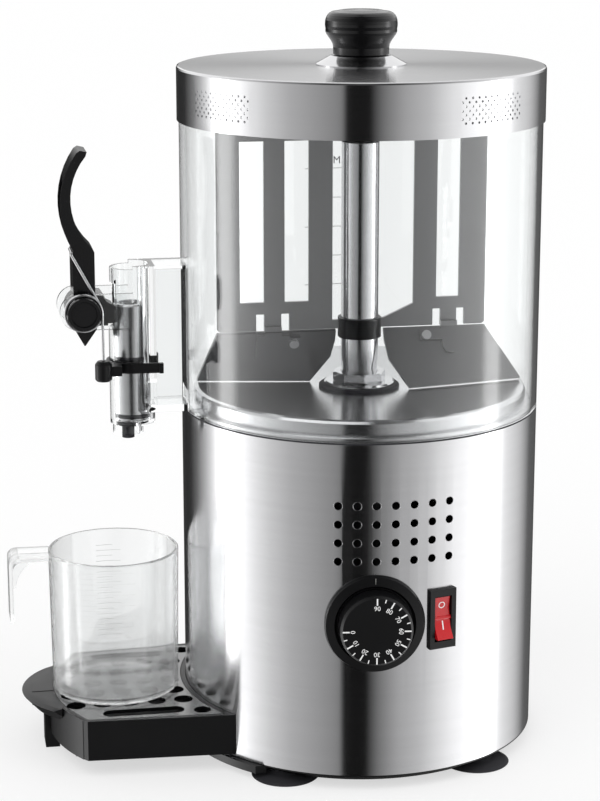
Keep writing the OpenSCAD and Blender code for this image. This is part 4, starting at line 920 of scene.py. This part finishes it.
def studio_world(level):
    """White to the camera, even fill for the object, and in gloss a light tent: two broad soft
    boxes beside the object, dark cards behind them and a dark gap where the camera stands. The
    card on the tap's side is pale for light that has gone through clear plastic."""
    world = bpy.data.worlds.new("studio_tent")
    bpy.context.scene.world = world
    world.use_nodes = True
    tree = world.node_tree
    tree.nodes.clear()
    path = add(tree, "ShaderNodeLightPath").outputs
    direction = add(tree, "ShaderNodeTexCoord").outputs["Generated"]
    look = add(tree, "ShaderNodeSeparateXYZ", {0: direction})
    back = maths(tree, "MULTIPLY", look.outputs["Y"], -1.0)
    turn = maths(tree, "ARCTAN2", look.outputs["X"], back)
    turn = maths(tree, "MULTIPLY", turn, 1 / (2 * math.pi))
    turn = maths(tree, "FRACT", maths(tree, "ADD", turn, 0.5 + TENT_TURN + 1.0))
    walls = ramp(tree, turn, WALLS)
    above = ramp(tree, turn, ABOVE)
    lift = add(tree, "ShaderNodeMapRange", {
        "Value": look.outputs["Z"], "From Min": 0.02, "From Max": 0.2},
        interpolation_type="SMOOTHSTEP").outputs[0]
    inside = maths(tree, "GREATER_THAN", path["Transmission Depth"], 0.5)
    tap_side = maths(tree, "LESS_THAN", turn, 0.5 - PALE_FROM)
    pale_side = maths(tree, "MULTIPLY", inside, tap_side)
    walls = pick(tree, pale_side, walls, grey(PALE_CARD / TENT_WHITE))
    tent = pick(tree, lift, walls, above)
    gloss = maths(tree, "GREATER_THAN", path["Glossy Depth"], 0.5)
    diffuse = maths(tree, "GREATER_THAN", path["Diffuse Depth"], 0.5)
    seen = pick(tree, diffuse, grey(1), grey(level))
    tent = pick(tree, 1.0, tent, grey(TENT_WHITE), blend_type="MULTIPLY", clamp_result=False)
    shown = pick(tree, gloss, seen, tent)
    light = add(tree, "ShaderNodeBackground", {"Color": shown, "Strength": 1.0})
    add(tree, "ShaderNodeOutputWorld", {"Surface": light.outputs[0]})


def lamp(name, energy, direction, spread):
    """A broad soft lamp that shines the same everywhere and doesn't show in gloss."""
    data = bpy.data.lights.new(name, "SUN")
    data.energy = energy
    data.angle = math.radians(spread)
    light = bpy.data.objects.new(name, data)
    light.rotation_euler = Vector(direction).to_track_quat("-Z", "Y").to_euler()
    light.visible_glossy = False
    bpy.context.scene.collection.objects.link(light)


def studio_floor(share):
    """A plain pale floor, whose camera colour is mostly its own white and keeps the shadow."""
    bm = bmesh.new()
    bmesh.ops.create_grid(bm, x_segments=1, y_segments=1, size=FLOOR_HALF)
    mesh = bpy.data.meshes.new("studio_floor")
    bm.to_mesh(mesh)
    bm.free()
    floor = bpy.data.objects.new("studio_floor", mesh)
    bpy.context.scene.collection.objects.link(floor)
    material = bpy.data.materials.new("pale_floor")
    material.use_nodes = True
    tree = material.node_tree
    tree.nodes.clear()
    path = add(tree, "ShaderNodeLightPath").outputs
    paint_coat = add(tree, "ShaderNodeBsdfDiffuse", {"Color": (0.93, 0.93, 0.93, 1)})
    white = add(tree, "ShaderNodeEmission", {"Color": (1, 1, 1, 1), "Strength": 1.0})
    seen = maths(tree, "MAXIMUM", path["Is Camera Ray"], maths(
        tree, "MAXIMUM", path["Is Glossy Ray"], path["Is Transmission Ray"]))
    glow = maths(tree, "MULTIPLY", seen, share)
    surface = add(tree, "ShaderNodeMixShader", {
        0: glow, 1: paint_coat.outputs[0], 2: white.outputs[0]})
    open_air = add(tree, "ShaderNodeBsdfTransparent")
    mirrored = maths(tree, "GREATER_THAN", path["Glossy Depth"], 0.5)
    whole = add(tree, "ShaderNodeMixShader", {
        0: mirrored, 1: surface.outputs[0], 2: open_air.outputs[0]})
    add(tree, "ShaderNodeOutputMaterial", {"Surface": whole.outputs[0]})
    mesh.materials.append(material)


class DISPENSER_OT_studio(bpy.types.Operator):
    """Set up the floor, the light tent, the lamps and the camera."""

    bl_idname = "dispenser.studio"
    bl_label = "Studio"

    def execute(self, context):
        s = context.scene.dispenser_studio
        studio_world(s.fill)
        studio_floor(s.floor_share)
        lamp("key_lamp", s.key, (0.55, 0.6, -1.0), 50)
        lamp("side_lamp", s.side, (-0.9, 0.35, -0.8), 50)
        data = bpy.data.cameras.new("camera")
        data.lens = s.camera_lens
        data.sensor_width = 36
        data.clip_end = 60
        camera = bpy.data.objects.new("camera", data)
        camera.location = s.camera_place
        camera.rotation_euler = (math.pi / 2 - s.camera_pitch, 0, -s.camera_yaw)
        context.scene.collection.objects.link(camera)
        context.scene.camera = camera
        context.scene.view_settings.view_transform = "Standard"
        return {"FINISHED"}


class DISPENSER_PT_panel(bpy.types.Panel):
    """The dispenser's settings and operators."""

    bl_idname = "DISPENSER_PT_panel"
    bl_label = "Hot Chocolate Dispenser"
    bl_space_type = "VIEW_3D"
    bl_region_type = "UI"
    bl_category = "Dispenser"

    def draw(self, context):
        layout = self.layout
        for operator in OPERATORS:
            layout.operator(operator.bl_idname)
        for group in (context.scene.dispenser_sizes, context.scene.dispenser_colours,
                      context.scene.dispenser_studio):
            box = layout.box()
            for name in type(group).__annotations__:
                box.prop(group, name)


GROUPS = (DispenserSizes, DispenserColours, DispenserStudio)
OPERATORS = (
    DISPENSER_OT_cad_finishes, DISPENSER_OT_moulded_parts, DISPENSER_OT_return_spring,
    DISPENSER_OT_dial_print, DISPENSER_OT_rocker_print, DISPENSER_OT_tank_scale,
    DISPENSER_OT_jug_scale, DISPENSER_OT_vent_rims, DISPENSER_OT_studio,
)


def register():
    for cls in (*GROUPS, *OPERATORS, DISPENSER_PT_panel):
        bpy.utils.register_class(cls)
    bpy.types.Scene.dispenser_sizes = bpy.props.PointerProperty(type=DispenserSizes)
    bpy.types.Scene.dispenser_colours = bpy.props.PointerProperty(type=DispenserColours)
    bpy.types.Scene.dispenser_studio = bpy.props.PointerProperty(type=DispenserStudio)


def unregister():
    del bpy.types.Scene.dispenser_studio
    del bpy.types.Scene.dispenser_colours
    del bpy.types.Scene.dispenser_sizes
    for cls in reversed((*GROUPS, *OPERATORS, DISPENSER_PT_panel)):
        bpy.utils.unregister_class(cls)


def main():
    register()
    bpy.ops.dispenser.cad_finishes()
    bpy.ops.dispenser.moulded_parts()
    bpy.ops.dispenser.return_spring()
    bpy.ops.dispenser.dial_print()
    bpy.ops.dispenser.rocker_print()
    bpy.ops.dispenser.tank_scale()
    bpy.ops.dispenser.jug_scale()
    bpy.ops.dispenser.vent_rims()
    bpy.ops.dispenser.studio()


if __name__ == "__main__":
    main()
